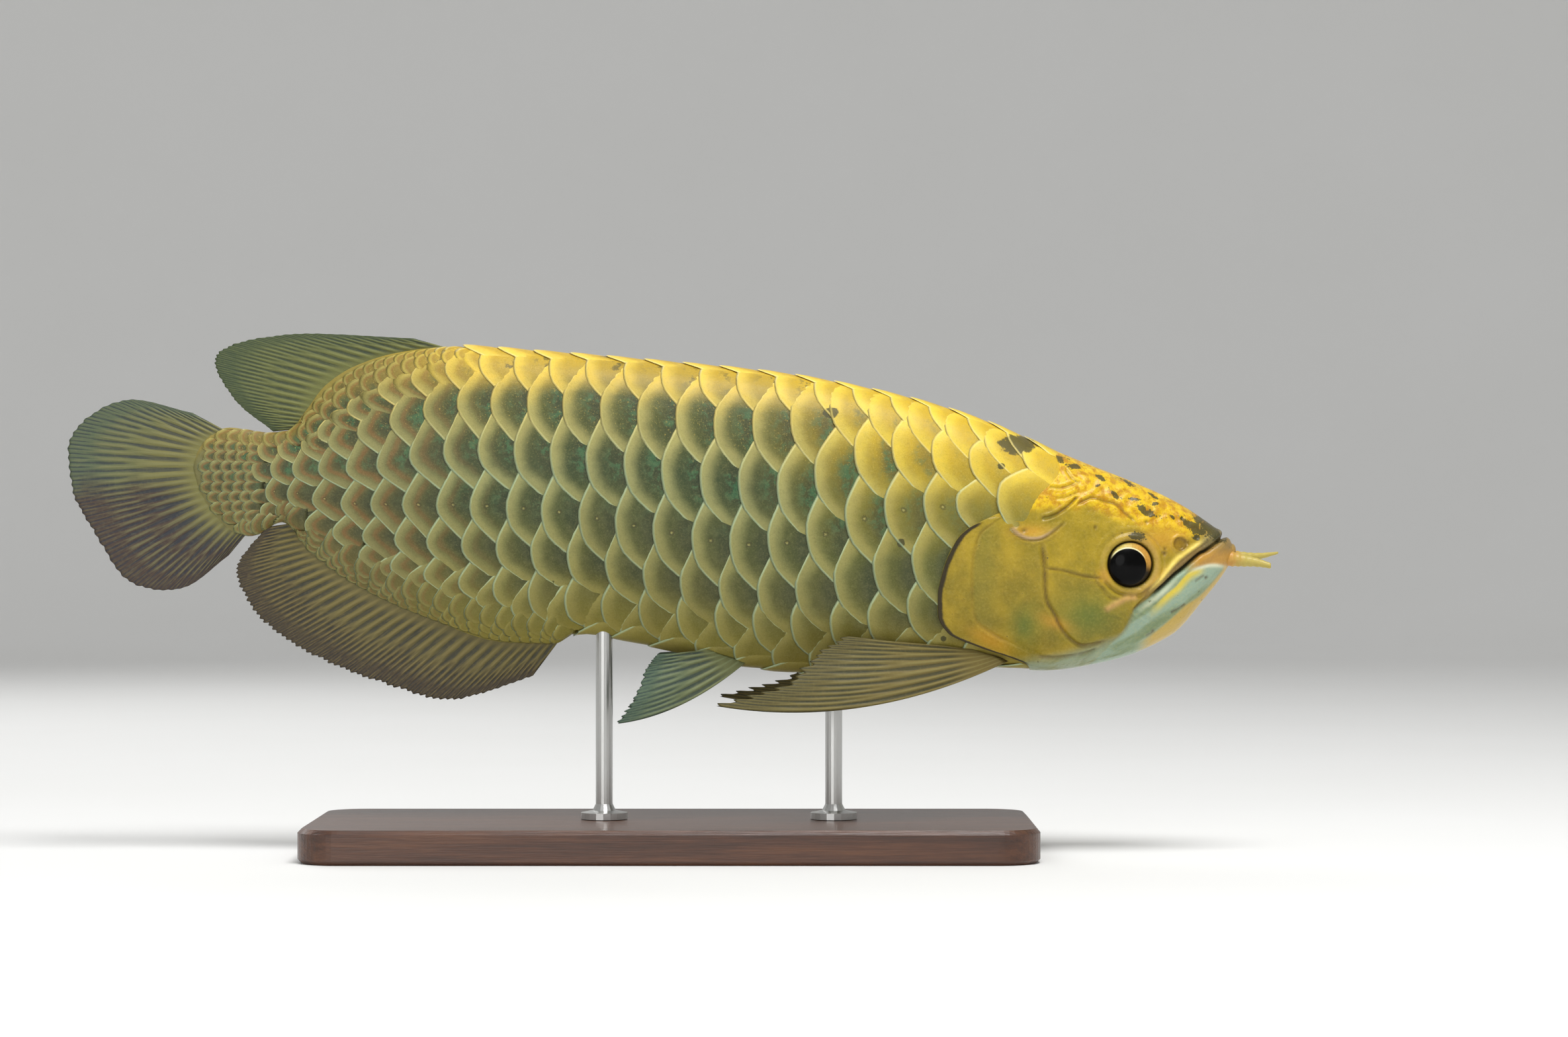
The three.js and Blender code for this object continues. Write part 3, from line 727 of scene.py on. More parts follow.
# Sensory pores as place, radius and depth
PITS = (
    (240.9, 146.2, 1.0, 0.5), (229.8, 141.2, 1.0, 0.6), (230, 143.5, 0.8, 0.4),
    (221.5, 156, 0.9, 0.5), (238.7, 157.6, 0.8, 0.7), (245.3, 148.7, 1.0, 0.5), (160.5, 154.4, 1.0, 0.6),
    (164, 151.8, 0.9, 0.6), (197.3, 153.4, 0.8, 0.4), (250, 130, 0.8, 0.4), (225, 105, 0.8, 0.4),
)

# Black spots as place, half length and half height, and how far they lean down towards the snout
SPOTS = (
    (206.7, 168.9, 2.6, 1.4, 0.5), (216, 166.7, 2.6, 0.8, 0.1), (222.6, 160.6, 4.8, 1.9, 0.45),
    (225.4, 168, 2.2, 0.9, 0.6), (226.5, 164.6, 1.8, 0.7, 0), (216, 149.4, 4.4, 1.7, 0),
    (244, 153.6, 7.5, 2.2, 0.5), (252, 153.5, 7.5, 4.2, 0.8), (181, 186.2, 4.4, 1.6, 0.25),
    (188.5, 182, 3.2, 1.3, 0.15), (200, 177, 2.4, 1.1, 0.4), (199.2, 173, 1.4, 0.8, 0),
    (214, 174.2, 3.4, 1.0, 0.5), (245.3, 148.7, 1.4, 1.1, 0), (234, 158.2, 2.0, 0.8, 0.5),
    (166, 190, 5.0, 3.0, 0.3),
)

# Green and warm patches, in the same way
GREEN_PATCHES = ((194, 112, 12, 9, 0), (165, 108, 6, 8, 0))
WARM_PATCHES = (
    (149, 101, 8, 3.5, 0.4), (229, 148, 10, 5, 0), (202, 131, 3, 3, 0), (179, 109, 6, 2.6, 0.35),
    (167, 151.5, 7, 2.5, 0), (226, 128, 5, 3, -0.8),
)


def spot_mask(x, z, spots):
    """1 in the middle of each spot, falling to 0 well outside it."""
    mask = np.zeros_like(x)
    for sx, sz, length, height, lean in spots:
        away = ((x - sx) / length) ** 2 + ((z - sz + lean * (x - sx)) / height) ** 2
        mask = np.maximum(mask, np.exp(-0.7 * away))
    return mask


# The heights at which the crown's gold and the throat's pale skin fade into the cheek
crown_line = smooth_line([(150, 160), (190, 162), (205, 158), (225, 152), (262, 146)])
throat_line = smooth_line([(150, 90), (175, 92), (205, 100), (215, 104)])

EYE_POCKET_DEPTH = 7.0
COVER_TOP = 158
MOUTH_CORNER_X = 215.6


def seams_and_pores(x, z):
    """The relief of the head's seams, folds, pores and nostril, and how dark the painted shade in them makes
    each place.
    """
    relief = np.zeros_like(x)
    crease = np.zeros_like(x)
    for line, depth, width, darkness in GROOVES:
        gap, _, run = line.measure(x, z)
        ends = smooth_step(run, 0, 0.08) * smooth_step(run, 1, 0.92)
        groove = bump(gap, 0, width) * ends
        relief += -depth * groove + 0.35 * depth * bump(gap, 2.3 * width, width) * ends
        crease = np.maximum(crease, darkness * groove)
    for px, pz, radius, depth in PITS:
        gap = np.hypot(x - px, z - pz)
        pit = bump(gap, 0, radius)
        relief += -depth * pit + 0.3 * depth * bump(gap, 1.8 * radius, 0.6 * radius)
        crease = np.maximum(crease, 0.9 * pit)
    gap = np.hypot(x - NOSTRIL[0], z - NOSTRIL[1])
    relief += 0.5 * bump(gap, 3.7, 0.8) - 0.9 * smooth_step(gap, 3.2, 2.2)
    crease = np.maximum(crease, 0.85 * bump(gap, 2.8, 0.8))
    crease = np.maximum(crease, 0.65 * smooth_step(gap, 3.0, 2.2))
    return relief, crease


def plates_and_folds(x, z):
    """The gill cover's raised bone, the tab and the fold of flesh, the wrinkles below the eye and the crown's
    bony bumps."""
    gap, signed, _ = OPERCLE.measure(x, z)
    relief = 0.45 * smooth_step(signed, 0.4, -0.4) * np.exp(-gap / 10) * (z < COVER_TOP)
    membrane = smooth_step(signed, 0.0, 1.5) * smooth_step(x, 156, 146) * (z < COVER_TOP)
    gap, signed, run = TAB_BOTTOM.measure(x, z)
    # A painted highlight along the tab's lower edge
    tab_edge = bump(gap, 0.9, 0.7) * (signed > 0) * smooth_step(run, 0.95, 0.6) * smooth_step(run, 0.02, 0.1)
    relief += 0.45 * bump(signed, 1.6, 1.6) * smooth_step(run, 0.02, 0.1) * smooth_step(run, 0.98, 0.7)
    fold = bump(FLESH_FOLD.measure(x, z)[0], 0, 1.5)
    relief += 0.7 * fold
    below_eye = smooth_step(x, 196, 204) * smooth_step(x, 232, 220) * smooth_step(z, 100, 112)
    below_eye *= smooth_step(z, 130, 124)
    wrinkles = np.sin(1.7 * (0.8 * x + 0.6 * z) + 2.4 * np.sin(0.45 * z) + 1.5 * np.sin(0.5 * x))
    relief += 0.22 * below_eye * wrinkles
    crown = smooth_step(z - crown_line(x), 2, 8) * smooth_step(x, 184, 192) * smooth_step(x, 256, 246)
    knobs = np.sin(0.62 * x + 1.3 * np.sin(0.5 * z)) * np.sin(0.75 * z + 1.1 * np.sin(0.43 * x))
    relief += 0.32 * crown * knobs
    return relief, {"membrane": membrane, "tab_edge": tab_edge, "fold": fold}


def orbit_ring(x, eye):
    """The fleshy ring round the eye, which stands higher and wider towards the snout."""
    fore = smooth_step(x, EYE_CENTRE[0] - 12, EYE_CENTRE[0] + 10)
    relief = (0.6 + 0.5 * fore) * bump(eye, 12.4 + 0.8 * fore, 1.2 + 0.6 * fore)
    relief += 0.25 * bump(eye, 16.8, 0.9) - (0.25 + 0.3 * fore) * bump(eye, 14.6 + 0.8 * fore, 0.6)
    return relief, {"orbit": bump(eye, 12.6, 1.5) * (0.35 + 0.65 * fore)}


def mouth_slot(x, z):
    """The mouth's slot between its lips, and the painted shade in it."""
    gap, signed, _ = MOUTH.measure(x, z)
    front = smooth_step(x, 221, 228)
    slot = bump(gap, 0, 0.85)
    relief = front * (0.75 * bump(signed, 2.8, 1.9) + 0.9 * bump(signed, -2.8, 2.1))
    relief -= 2.6 * slot * front + 0.8 * slot * (1 - front) * smooth_step(x, 212, 216)
    dark = bump(gap, 0, 0.8) * front * smooth_step(x, 257, 250)
    return relief, np.maximum(dark, 0.35 * slot * smooth_step(x, 213, 218))


def jaw_marks(x, z):
    """Where the jaw's colours lie: its pale skin, lips, stripe, chin and tip."""
    above_mouth = MOUTH.measure(x, z)[1]
    past_corner = np.where(x > MOUTH_CORNER_X, 9, -JAW_REAR.measure(x, z)[1])
    jaw = smooth_step(above_mouth, 0.4, -0.6) * smooth_step(past_corner, -2.0, 1.5)
    gap, above_lip, _ = LIP_BOTTOM.measure(x, z)
    tip = smooth_step(above_lip, -0.6, 1.0) * smooth_step(x, 238, 247) * smooth_step(above_mouth, 0.2, -0.6)
    yellow = smooth_step(-above_lip, -0.6, 0.6) * smooth_step(-above_lip, 4.8, 1.2)
    yellow *= smooth_step(x, 221, 232) * smooth_step(x, 251, 244)
    lip_line = bump(gap, 0, 0.9) * smooth_step(x, 240, 246) * smooth_step(x, 262, 255)
    below_slot = 0.5 * bump(above_mouth, -2.2, 1.0) * smooth_step(x, 216, 222) * smooth_step(x, 238, 230)
    upper_lip = smooth_step(above_mouth, 0.2, 0.9) * smooth_step(above_mouth, 5.0, 3.4)
    upper_lip *= smooth_step(x, 216, 226)
    stripe = bump(CHEEK_STRIPE.measure(x, z)[0], 0, 1.2) * smooth_step(x, 221, 226) * smooth_step(x, 250, 246)
    chin = smooth_step(-CHIN.measure(x, z)[1], 0.0, 1.6) * smooth_step(x, 216, 226) * jaw
    throat = smooth_step(z - throat_line(x), 4, -3) * smooth_step(x, 150, 166)
    return {
        "jaw": np.maximum(jaw, 0.75 * throat), "lip": yellow, "white": np.maximum(lip_line, below_slot),
        "stripe": stripe, "chin": chin, "brown": tip, "upper_lip": upper_lip,
    }


def head_shape(x, z, sideways):
    """The relief of the bare head, and the marks that its finish reads."""
    eye = np.hypot(x - EYE_CENTRE[0], z - EYE_CENTRE[1])
    relief, crease = seams_and_pores(x, z)
    plate_relief, plate_marks = plates_and_folds(x, z)
    ring_relief, ring_marks = orbit_ring(x, eye)
    relief = (relief + plate_relief + ring_relief) * smooth_step(np.abs(sideways), 0.1, 0.35)
    mouth_relief, dark = mouth_slot(x, z)
    relief += mouth_relief - EYE_POCKET_DEPTH * smooth_step(eye, 11.0, 8.8)
    marks = {
        "gold": smooth_step(z - crown_line(x), -8, 9),
        "crease": crease,
        "green": spot_mask(x, z, GREEN_PATCHES),
        "warm": spot_mask(x, z, WARM_PATCHES),
        "mark": spot_mask(x, z, SPOTS),
        # Painted shade in the mouth's slot and in the gap round the eye
        "dark": np.maximum(dark, 0.95 * bump(eye, 10.4, 0.7)),
    }
    return relief, marks | plate_marks | ring_marks | jaw_marks(x, z)


def skin_place(stations):
    """Where each grid point of the skin goes."""
    rings = len(stations)

    def place(around, along):
        index = np.rint(along * (rings + SNOUT_CAP_RINGS - 1)).astype(int)
        cap = np.clip(index - rings + 1, 0, SNOUT_CAP_RINGS) / SNOUT_CAP_RINGS
        station = stations[np.minimum(index, rings - 1)]
        turn = 1 - 2 * around
        share = np.abs(turn)
        near_edge = 1 - smooth_step(np.abs(station - HEAD_EDGE_X), 2, EDGE_FALLOFF)
        x = station + edge_shift(share) * near_edge
        bare = smooth_step(station, HEAD_EDGE_X - 0.45, HEAD_EDGE_X - 0.1)
        points = body.look_up(body.points, x, share)
        outward = body.look_up(body.outward, x, share)
        z = points[:, 2]
        relief, marks = head_shape(x, z, outward[:, 1])
        # The gill cover's edge stands proud of the scales, and the nape's edge lies on them
        cover = smooth_step(z, 158.5, 153) * smooth_step(share, 0.97, 0.9)
        ahead = np.maximum(station - HEAD_EDGE_X, 0)
        relief += COVER_RISE * cover + COVER_LIP_RISE * cover * np.exp(-ahead / COVER_LIP_WIDTH)
        relief -= NAPE_DROP * (1 - cover) * smooth_step(z, 150, 160) * np.exp(-ahead / NAPE_WIDTH)
        behind = np.maximum(HEAD_EDGE_X - station, 0)
        depth = coat_depth(x) + SLIT_DEPTH * cover * np.exp(-behind / SLIT_WIDTH)
        lift = np.where(bare > 0, bare * relief - (1 - bare) * depth, -depth)
        points = points + outward * lift[:, None]
        # The snout's last rings close in a rounded tip, and the tail's first ring closes flat
        centre = np.array([SNOUT_X, 0, (back(SNOUT_X) + belly(SNOUT_X)) / 2])
        shrink = np.cos(cap * math.pi / 2)[:, None]
        points = np.where(cap[:, None] > 0, centre + (points - centre) * shrink, points)
        points[:, 0] += SNOUT_CAP_BULGE * np.sin(cap * math.pi / 2)
        tail = np.array([TAIL_END_X, 0, (back(TAIL_END_X) + belly(TAIL_END_X)) / 2])
        points = np.where((index == 0)[:, None], tail, points)
        points[:, 1] = np.where(share >= 1, 0, points[:, 1] * np.where(turn < 0, -1, 1))
        marks["gill_rim"] = bump(ahead, 0, COVER_RIM_WIDTH) * cover * bare
        marks["share"] = share
        marks["bare"] = bare
        return points, marks

    return place


FLESH = (
    "head", "lower_jaw", "gill_cover_right", "gill_cover_left", "trunk_front", "trunk_rear", "tail_stalk",
)


def add_skin():
    stations = ring_places()
    rows = len(stations) + SNOUT_CAP_RINGS - 1
    mesh = grid_mesh("skin", SKIN_COLUMNS, rows, skin_place(stations))
    return add_piece(mesh, skin_finish(), FLESH)


# Scales

# A scale is a grid that is folded over at its free edge. The fold's rows are the share along the scale, from
# the root at 0 to the edge at 1, and 1 on the outer face or 0 on the inner one.
SCALE_ACROSS = 12
SCALE_FOLD = (
    (0, 1), (0.4, 1), (0.62, 1), (0.82, 1), (0.96, 0.9), (1, 0.4), (0.94, 0), (0.62, 0), (0.3, 0), (0, 0),
)
SMALL_SCALE_ACROSS = 8
SMALL_SCALE_FOLD = (
    (0, 1), (0.3, 1), (0.6, 1), (0.85, 1), (1, 0.5), (0.85, 0), (0.6, 0), (0.3, 0), (0, 0),
)
ROOT_TAPER = 0.3
SCALE_THICKNESS = 0.4
LENGTH_IN_STEPS = 2.0
FULL_LENGTH = 36.0
HEIGHT_TO_LENGTH = 0.05
ROW_DROP = 0.06

# Form of a full-sized scale's outer face: how high its middle stands for each millimetre of its half height,
# and how far its free edge rolls down, its sides dive and it may tilt
CROWN_TO_HALF = 0.008
EDGE_ROLL = 0.25
SIDE_DIVE = 0.5
LARGEST_TILT = 0.06

# How much scales differ, in steps, in half heights and in degrees
STEP_SPREAD = 0.02
HALF_SPREAD = 0.03
DROOP_SPREAD = 1.6

# The free edge's two corners, as share of the half height and slope beyond it in steps. Towards the tail
# both come to the tip, so that the scales are pointed.
UPPER_CORNER = (0.2, 0.5)
LOWER_CORNER = (0.5, 0.68)
TAIL_CORNER = (0.05, 0.5)
CORNER_BLUNTNESS = 0.2

RIDGE_HALF = 12.0
RIDGE_GAP = 0.04

SCALE_STEP = (
    (-224, 5.5), (-203, 6.8), (-190, 8.7), (-160, 13), (-120, 15.5), (-60, 16.8), (0, 17.7), (60, 18),
)
SCALE_HALF = (
    (-224, 4.5), (-203, 7), (-190, 9), (-160, 14), (-120, 20.5), (-60, 24), (0, 25.5), (60, 25), (92, 23.5),
    (110, 22), (129, 19.5), (146, 17), (164, 15),
)

# The seven rows of large scales from the back down. A row has one tip's x and the line of the tips on the
# side view. Its droop in degrees and its half heights go by x along it.
FLANK_ROWS = (
    dict(
        first=-5, droop=((-180, 14), (-120, 6), (-60, 2), (165, 3)),
        line=((-176, 193.5), (-165, 199), (-153, 209.5), (-140, 217.5), (-123, 223.5), (-88, 232), (-41, 230),
              (12, 225.5), (47, 222.5), (75, 220), (110, 213.8), (150, 202), (170, 193)),
        half=((-176, 7), (-153, 11), (-140, 13), (-123, 16), (-105, 20), (-88, 22)),
    ),
    dict(
        first=2, droop=((-190, 18), (-140, 12), (-90, 2), (140, 4), (164, 12)),
        line=((-202, 188.5), (-190, 189.5), (-182, 190.5), (-157, 194), (-143, 199), (-129, 204), (-100, 213),
              (-67, 214), (-15, 208), (38, 203), (55, 206), (73, 213.5), (92, 211), (129, 203), (147, 196),
              (166, 187)),
    ),
    dict(
        first=-4.5, droop=((-200, 14), (-150, 18), (-110, 10), (-40, 8), (60, 3)),
        line=((-203, 180), (-186, 180.3), (-147, 180), (-119, 186.5), (-89, 189), (-39, 184), (13, 177.5),
              (48, 173.5), (66, 180.5), (84, 191), (100, 193.5), (142, 187)),
    ),
    dict(
        first=-8.5, droop=((-200, 8), (-150, 4), (-90, 9)), pored=1.0,
        line=((-203, 170.5), (-190, 170), (-154, 164.5), (-108, 163.5), (-62, 160), (-8, 150.5), (28, 145.5),
              (47, 146.5), (63, 151), (93, 162), (133, 166)),
    ),
    dict(
        first=4, droop=((-200, -2), (-150, 0), (-110, 6), (-60, 12)),
        line=((-203, 162), (-186, 161), (-170, 154), (-146, 149.5), (-99, 145), (-49, 138.5), (4, 126),
              (45, 122), (61, 124), (89, 132), (126, 140)),
        half=((-203, 6.5), (-186, 7), (-168, 9.5), (-146, 14), (-120, 18), (-60, 21), (0, 23)),
    ),
    dict(
        first=2, droop=((-200, -8), (-140, 2), (-90, 10)),
        line=((-157, 143.5), (-122, 132.5), (-85, 124), (-32, 115), (25, 109.5), (66, 108), (91, 110.5),
              (120, 120)),
        half=((-157, 9), (-140, 11.5), (-105, 15), (-60, 20), (0, 22)),
    ),
    dict(
        first=-7, droop=((-150, 0), (-100, 8)),
        line=((-149, 137), (-111, 125.5), (-72, 115.5), (-51, 111), (-15, 102.5), (30, 94.5), (70, 91),
              (115, 93.5), (152, 95)),
        half=((-149, 7), (-130, 8), (-110, 10), (-72, 14), (-30, 18), (120, 20)),
    ),
)

# Single large scales of the nape as x, z, step, half height, droop and rise
NAPE_SCALES = ((132.0, 166.5, 17.0, 15.0, 2.0, -0.3), (151.8, 171.5, 17.0, 19.0, -8.0, 0.6))

# The rows of small scales: three along the dorsal fin's base, three along the anal fin's, and one in each of
# the stalk's two notches
SMALL_ROWS = (
    dict(
        first=-131, droop=-12, step=((-178, 8), (-165, 11), (-148, 14), (-113, 16)),
        line=((-178, 192.5), (-170.5, 197), (-161, 206), (-147.5, 215.5), (-131, 223.3), (-113, 231.5),
              (-99, 236)),
        half=((-170, 6), (-148, 7.5), (-131, 9.5), (-113, 11.5), (-100, 12.5)),
    ),
    dict(
        first=-140, droop=-18, step=6.4, half=6.4,
        line=((-178, 197), (-170, 205.5), (-164, 212), (-151, 221.3), (-137, 228), (-118, 234),
              (-100, 237.3)),
    ),
    dict(
        first=-140, droop=-22, step=4.8, half=5,
        line=((-176, 203), (-170, 211), (-163, 218), (-150, 227.5), (-137, 232.5), (-118, 236.8),
              (-104, 238.6)),
    ),
    dict(
        first=-120, droop=10, step=7.4, half=7.6, rise=-0.3,
        line=((-188, 161), (-179, 157), (-163, 143.5), (-148, 133), (-120, 120.5), (-92, 111), (-56, 104.5)),
    ),
    dict(
        first=-120, droop=14, step=5.8, half=5.6, rise=-0.36,
        line=((-189, 158), (-181, 154.5), (-166, 141), (-146, 127.8), (-120, 115.5), (-92, 106),
              (-54, 101.5)),
    ),
    dict(
        first=-120, droop=16, step=4.8, half=4.6, rise=-0.4,
        line=((-187, 156), (-173, 143.8), (-156, 130.2), (-132, 117), (-107, 107.6), (-78, 99.8), (-56, 99)),
    ),
    dict(first=-193, droop=0, step=5.5, half=6, line=((-205, 154), (-190, 155), (-180, 158))),
    dict(first=-193, droop=0, step=5.5, half=6, line=((-205, 197), (-190, 196), (-176, 199))),
)

# The rows of small scales that reach out over the tail fin's base
BASE_ROWS = 10
BASE_LOWEST = 153
BASE_SPACING = 4.9
BASE_STAGGER = 1.6
BASE_FAN = 0.06
BASE_FRONT_X = -198
STALK_MIDDLE = 175

# The tail end of the flesh on the side view, as x for each height
tail_edge = smooth_line([
    (151, -203), (156, -212), (168, -221.5), (178, -224), (190, -222.5), (196, -219), (200, -211),
])


def scale_template(across, fold):
    """One scale as a folded, closed grid. Its coordinates are the shares across and along it, and how high in
    its thickness each point lies."""
    shape = bmesh.new()
    shape.loops.layers.uv.new(BAKE_MAP)
    bmesh.ops.create_grid(shape, x_segments=across, y_segments=len(fold) - 1, size=1.0, calc_uvs=True)
    for k, vertex in enumerate(shape.verts):
        u = vertex.co.x
        v, lift = fold[k // (across + 1)]
        thick = (1 - u**4) * min(1, v / ROOT_TAPER)
        vertex.co = (u, v, 1 - (1 - lift) * thick)
    bmesh.ops.remove_doubles(shape, verts=shape.verts, dist=COARSE_MERGE_DISTANCE)
    bmesh.ops.recalc_face_normals(shape, faces=shape.faces)
    mesh = bpy.data.meshes.new("scale_template")
    shape.to_mesh(mesh)
    shape.free()
    return mesh


def joined_copies(name, template, points, marks, patches, turned):
    """One mesh of many copies of a template. Each copy has its own patch of the bake map, as corner and size.
    On the side where the copies' faces would look inward, they are turned over."""
    copies, count = points.shape[:2]
    loops, faces = len(template.loops), len(template.polygons)
    corner = np.zeros(loops, np.int32)
    start = np.zeros(faces, np.int32)
    flat = np.zeros(loops * 2, np.float32)
    template.loops.foreach_get("vertex_index", corner)
    template.polygons.foreach_get("loop_start", start)
    template.uv_layers[BAKE_MAP].data.foreach_get("uv", flat)
    turn = np.arange(copies)[:, None]
    mesh = bpy.data.meshes.new(name)
    mesh.vertices.add(copies * count)
    mesh.loops.add(copies * loops)
    mesh.polygons.add(copies * faces)
    write_points(mesh, points * MM)
    mesh.loops.foreach_set("vertex_index", (corner + turn * count).ravel().astype(np.int32))
    mesh.polygons.foreach_set("loop_start", (start + turn * loops).ravel().astype(np.int32))
    mesh.update(calc_edges=True)
    uv = patches[:, None, :2] + flat.reshape(1, -1, 2)[..., ::-1] * patches[:, None, 2:]
    mesh.uv_layers.new(name=BAKE_MAP).data.foreach_set("uv", uv.astype(np.float32).ravel())
    write_marks(mesh, marks)
    if turned:
        mesh.flip_normals()
    mesh.shade_smooth()
    return mesh


def row_tips(first, low, high, step):
    """The x of each tip of a row, stepping both ways from one of them."""
    ahead, behind = [first], [first]
    while ahead[-1] + step(ahead[-1]) <= high:
        ahead.append(ahead[-1] + step(ahead[-1]))
    while behind[-1] - step(behind[-1]) >= low:
        behind.append(behind[-1] - step(behind[-1]))
    return behind[:0:-1] + ahead


def along_row(value):
    """A size as a function of x: a smooth line through a few points, or the same all along."""
    return (lambda x: value) if np.isscalar(value) else smooth_line(value)


def row_scales(first, line, droop, step=SCALE_STEP, half=SCALE_HALF, pored=0.0, rise=0.0):
    """The scales of one row, as a table of x, girth share, step, half height, droop in degrees, whether it is
    pored, and rise."""
    height, droop, step, half = (along_row(value) for value in (line, droop, step, half))
    tips = row_tips(first, line[0][0], line[-1][0], step)
    return [(x, body.share_at(x, height(x)), step(x), half(x), droop(x), pored, rise) for x in tips]


def free_edge(u, pointed):
    """How far in steps a scale's free edge lies ahead of its tip, and its slope."""
    ahead, slope = 0.0, 0.0
    for sign, corner in ((1, UPPER_CORNER), (-1, LOWER_CORNER)):
        place, pitch = ((1 - pointed) * front + pointed * rear for front, rear in zip(corner, TAIL_CORNER))
        past = sign * u - place
        bend = np.hypot(past, CORNER_BLUNTNESS)
        ahead = ahead + pitch * (past + bend + place - np.hypot(place, CORNER_BLUNTNESS))
        slope = slope + sign * pitch * (1 + past / bend)
    return ahead, slope


def stay_on_side(share):
    """Squeezes what would pass the back's ridge or the keel against it, on its own side."""
    for _ in range(2):
        share = 1 - RIDGE_GAP * np.log1p(np.exp(2 * share / RIDGE_GAP)) / 2
    return share


def scale_coat(name, rows, side, template):
    """A piece of joined scales from rows of scales. side is -1 on the right and 1 on the left."""
    scales = np.array([scale for row in rows for scale in row])
    spread = random.uniform(-1, 1, (len(scales), 5)).T[:, :, None]
    x_tip, share_tip, step, half, droop, pored, rise = scales.T[:, :, None]
    x_tip = x_tip + STEP_SPREAD * step * spread[0]
    half = half * (1 + HALF_SPREAD * spread[1])
    droop = np.radians(droop + DROOP_SPREAD * spread[2])
    length = LENGTH_IN_STEPS * step
    u, v, lift = read_points(template).T[:, None, :]
    ahead, slope = free_edge(u, 0.8 * smooth_step(x_tip, -50, -130) * smooth_step(half, 7, 15))
    reach = length - step * ahead
    run = v * reach - length
    x = x_tip - np.cos(droop) * run - np.sin(droop) * u * half
    # Towards the tail a scale's own line runs level, and elsewhere it keeps its distance from the back
    level = smooth_step(x_tip, -60, -100)
    z_tip = body.look_up(body.points, x_tip, share_tip)[..., 2]
    own_share = share_tip * body.girth_at(x_tip) / body.girth_at(x)
    own_share += level * (body.share_at(x, z_tip) - own_share)
    share = own_share + (np.sin(droop) * run - np.cos(droop) * u * half) / body.girth_at(x)
    share = np.where((share_tip > 0) & (share_tip < 1), stay_on_side(share), share)
    size = length / FULL_LENGTH
    crown = CROWN_TO_HALF * half * (1 - u**2) * smooth_step(v, 0.3, 0.7)
    roll = EDGE_ROLL * size * smooth_step(v, 0.86, 1.0)
    dive = SIDE_DIVE * size * smooth_step(np.abs(u), 0.8, 1)
    tilt = LARGEST_TILT * size * u * spread[3]
    top = HEIGHT_TO_LENGTH * run + rise + crown - roll - dive - tilt
    thickness = SCALE_THICKNESS * np.minimum(1, size * 1.2)
    points = body.place(x, share, top - thickness * (1 - lift))
    points[..., 1] *= -side
    each = np.zeros_like(x)
    marks = {
        "rim": each + (1 - v) * reach / np.sqrt(1 + (step * slope / half) ** 2),
        "share": np.abs(share),
        "tone": each + 0.5 + 0.5 * spread[4],
        "size": each + step,
        "pore": each + pored,
        "across": each + u * half,
    }
    return joined_copies(name, template, points, marks, bake_patches(rows), side < 0)


def bake_patches(rows):
    """The bake map's patches: along the map by the scale's place along the body, and up it by its row."""
    low = min(scale[0] for row in rows for scale in row) - 20
    high = max(scale[0] for row in rows for scale in row) + 20
    patches = []
    for k, row in enumerate(rows):
        places = [(scale[0] - low) / (high - low) for scale in row]
        gaps = np.diff(places + [places[-1] + row[-1][2] / (high - low)])
        for place, gap in zip(places, gaps):
            patches.append((place, (k + 0.04) / len(rows), 0.9 * gap, 0.92 / len(rows)))
    return np.array(patches)


def flank_rows():
    """The rows of large scales, each a little lower than the one above it, and the nape's single scales."""
    rows = [row_scales(**row, rise=-ROW_DROP * k) for k, row in enumerate(FLANK_ROWS)]
    rows.append([(x, body.share_at(x, z), *sizes, 0.0, rise) for x, z, *sizes, rise in NAPE_SCALES])
    return rows


def small_rows():
    """The small scales along the dorsal and anal fins' bases and over the tail stalk."""
    rows = [row_scales(**row) for row in SMALL_ROWS]
    for k in range(BASE_ROWS):
        z = BASE_LOWEST + k * BASE_SPACING
        edge = float(tail_edge(z))
        line = ((edge, z), (BASE_FRONT_X, z + (STALK_MIDDLE - z) * BASE_FAN))
        rows.append(row_scales(edge + 0.5 + (k % 2) * BASE_STAGGER, line, droop=0, step=5.2, half=3.6))
    return rows


def ridge_rows():
    """The single rows on the back's ridge and along the belly."""
    step = smooth_line(SCALE_STEP)
    top = [(x, 0.0, step(x), RIDGE_HALF, 0.0, 0.0, 0.55) for x in row_tips(4, -106, 172, step)]
    keel = [(x, 1.0, step(x), RIDGE_HALF, 0.0, 0.0, 0.2) for x in row_tips(6, -52, 152, step)]
    return [top, keel]


def add_scales():
    finish = scale_finish()
    large = scale_template(SCALE_ACROSS, SCALE_FOLD)
    small = scale_template(SMALL_SCALE_ACROSS, SMALL_SCALE_FOLD)
    for side, hand in ((-1, "right"), (1, "left")):
        coat = scale_coat(f"flank_scales_{hand}", flank_rows(), side, large)
        add_piece(coat, finish)
        coat = scale_coat(f"small_scales_{hand}", small_rows(), side, small)
        add_piece(coat, finish)
    add_piece(scale_coat("ridge_scales", ridge_rows(), -1, large), finish)


# Fins

FIN_ROOT_DEPTH = 6.0
FIN_ROWS = 44
COLUMNS_PER_RAY = 12
FIRST_FORK = (0.4, 0.65)
SECOND_FORK = (0.72, 0.92)
RIPPLE_HEIGHT = 0.5


def on_middle_plane(points):
    return [(x, 0, z) for x, z in points]


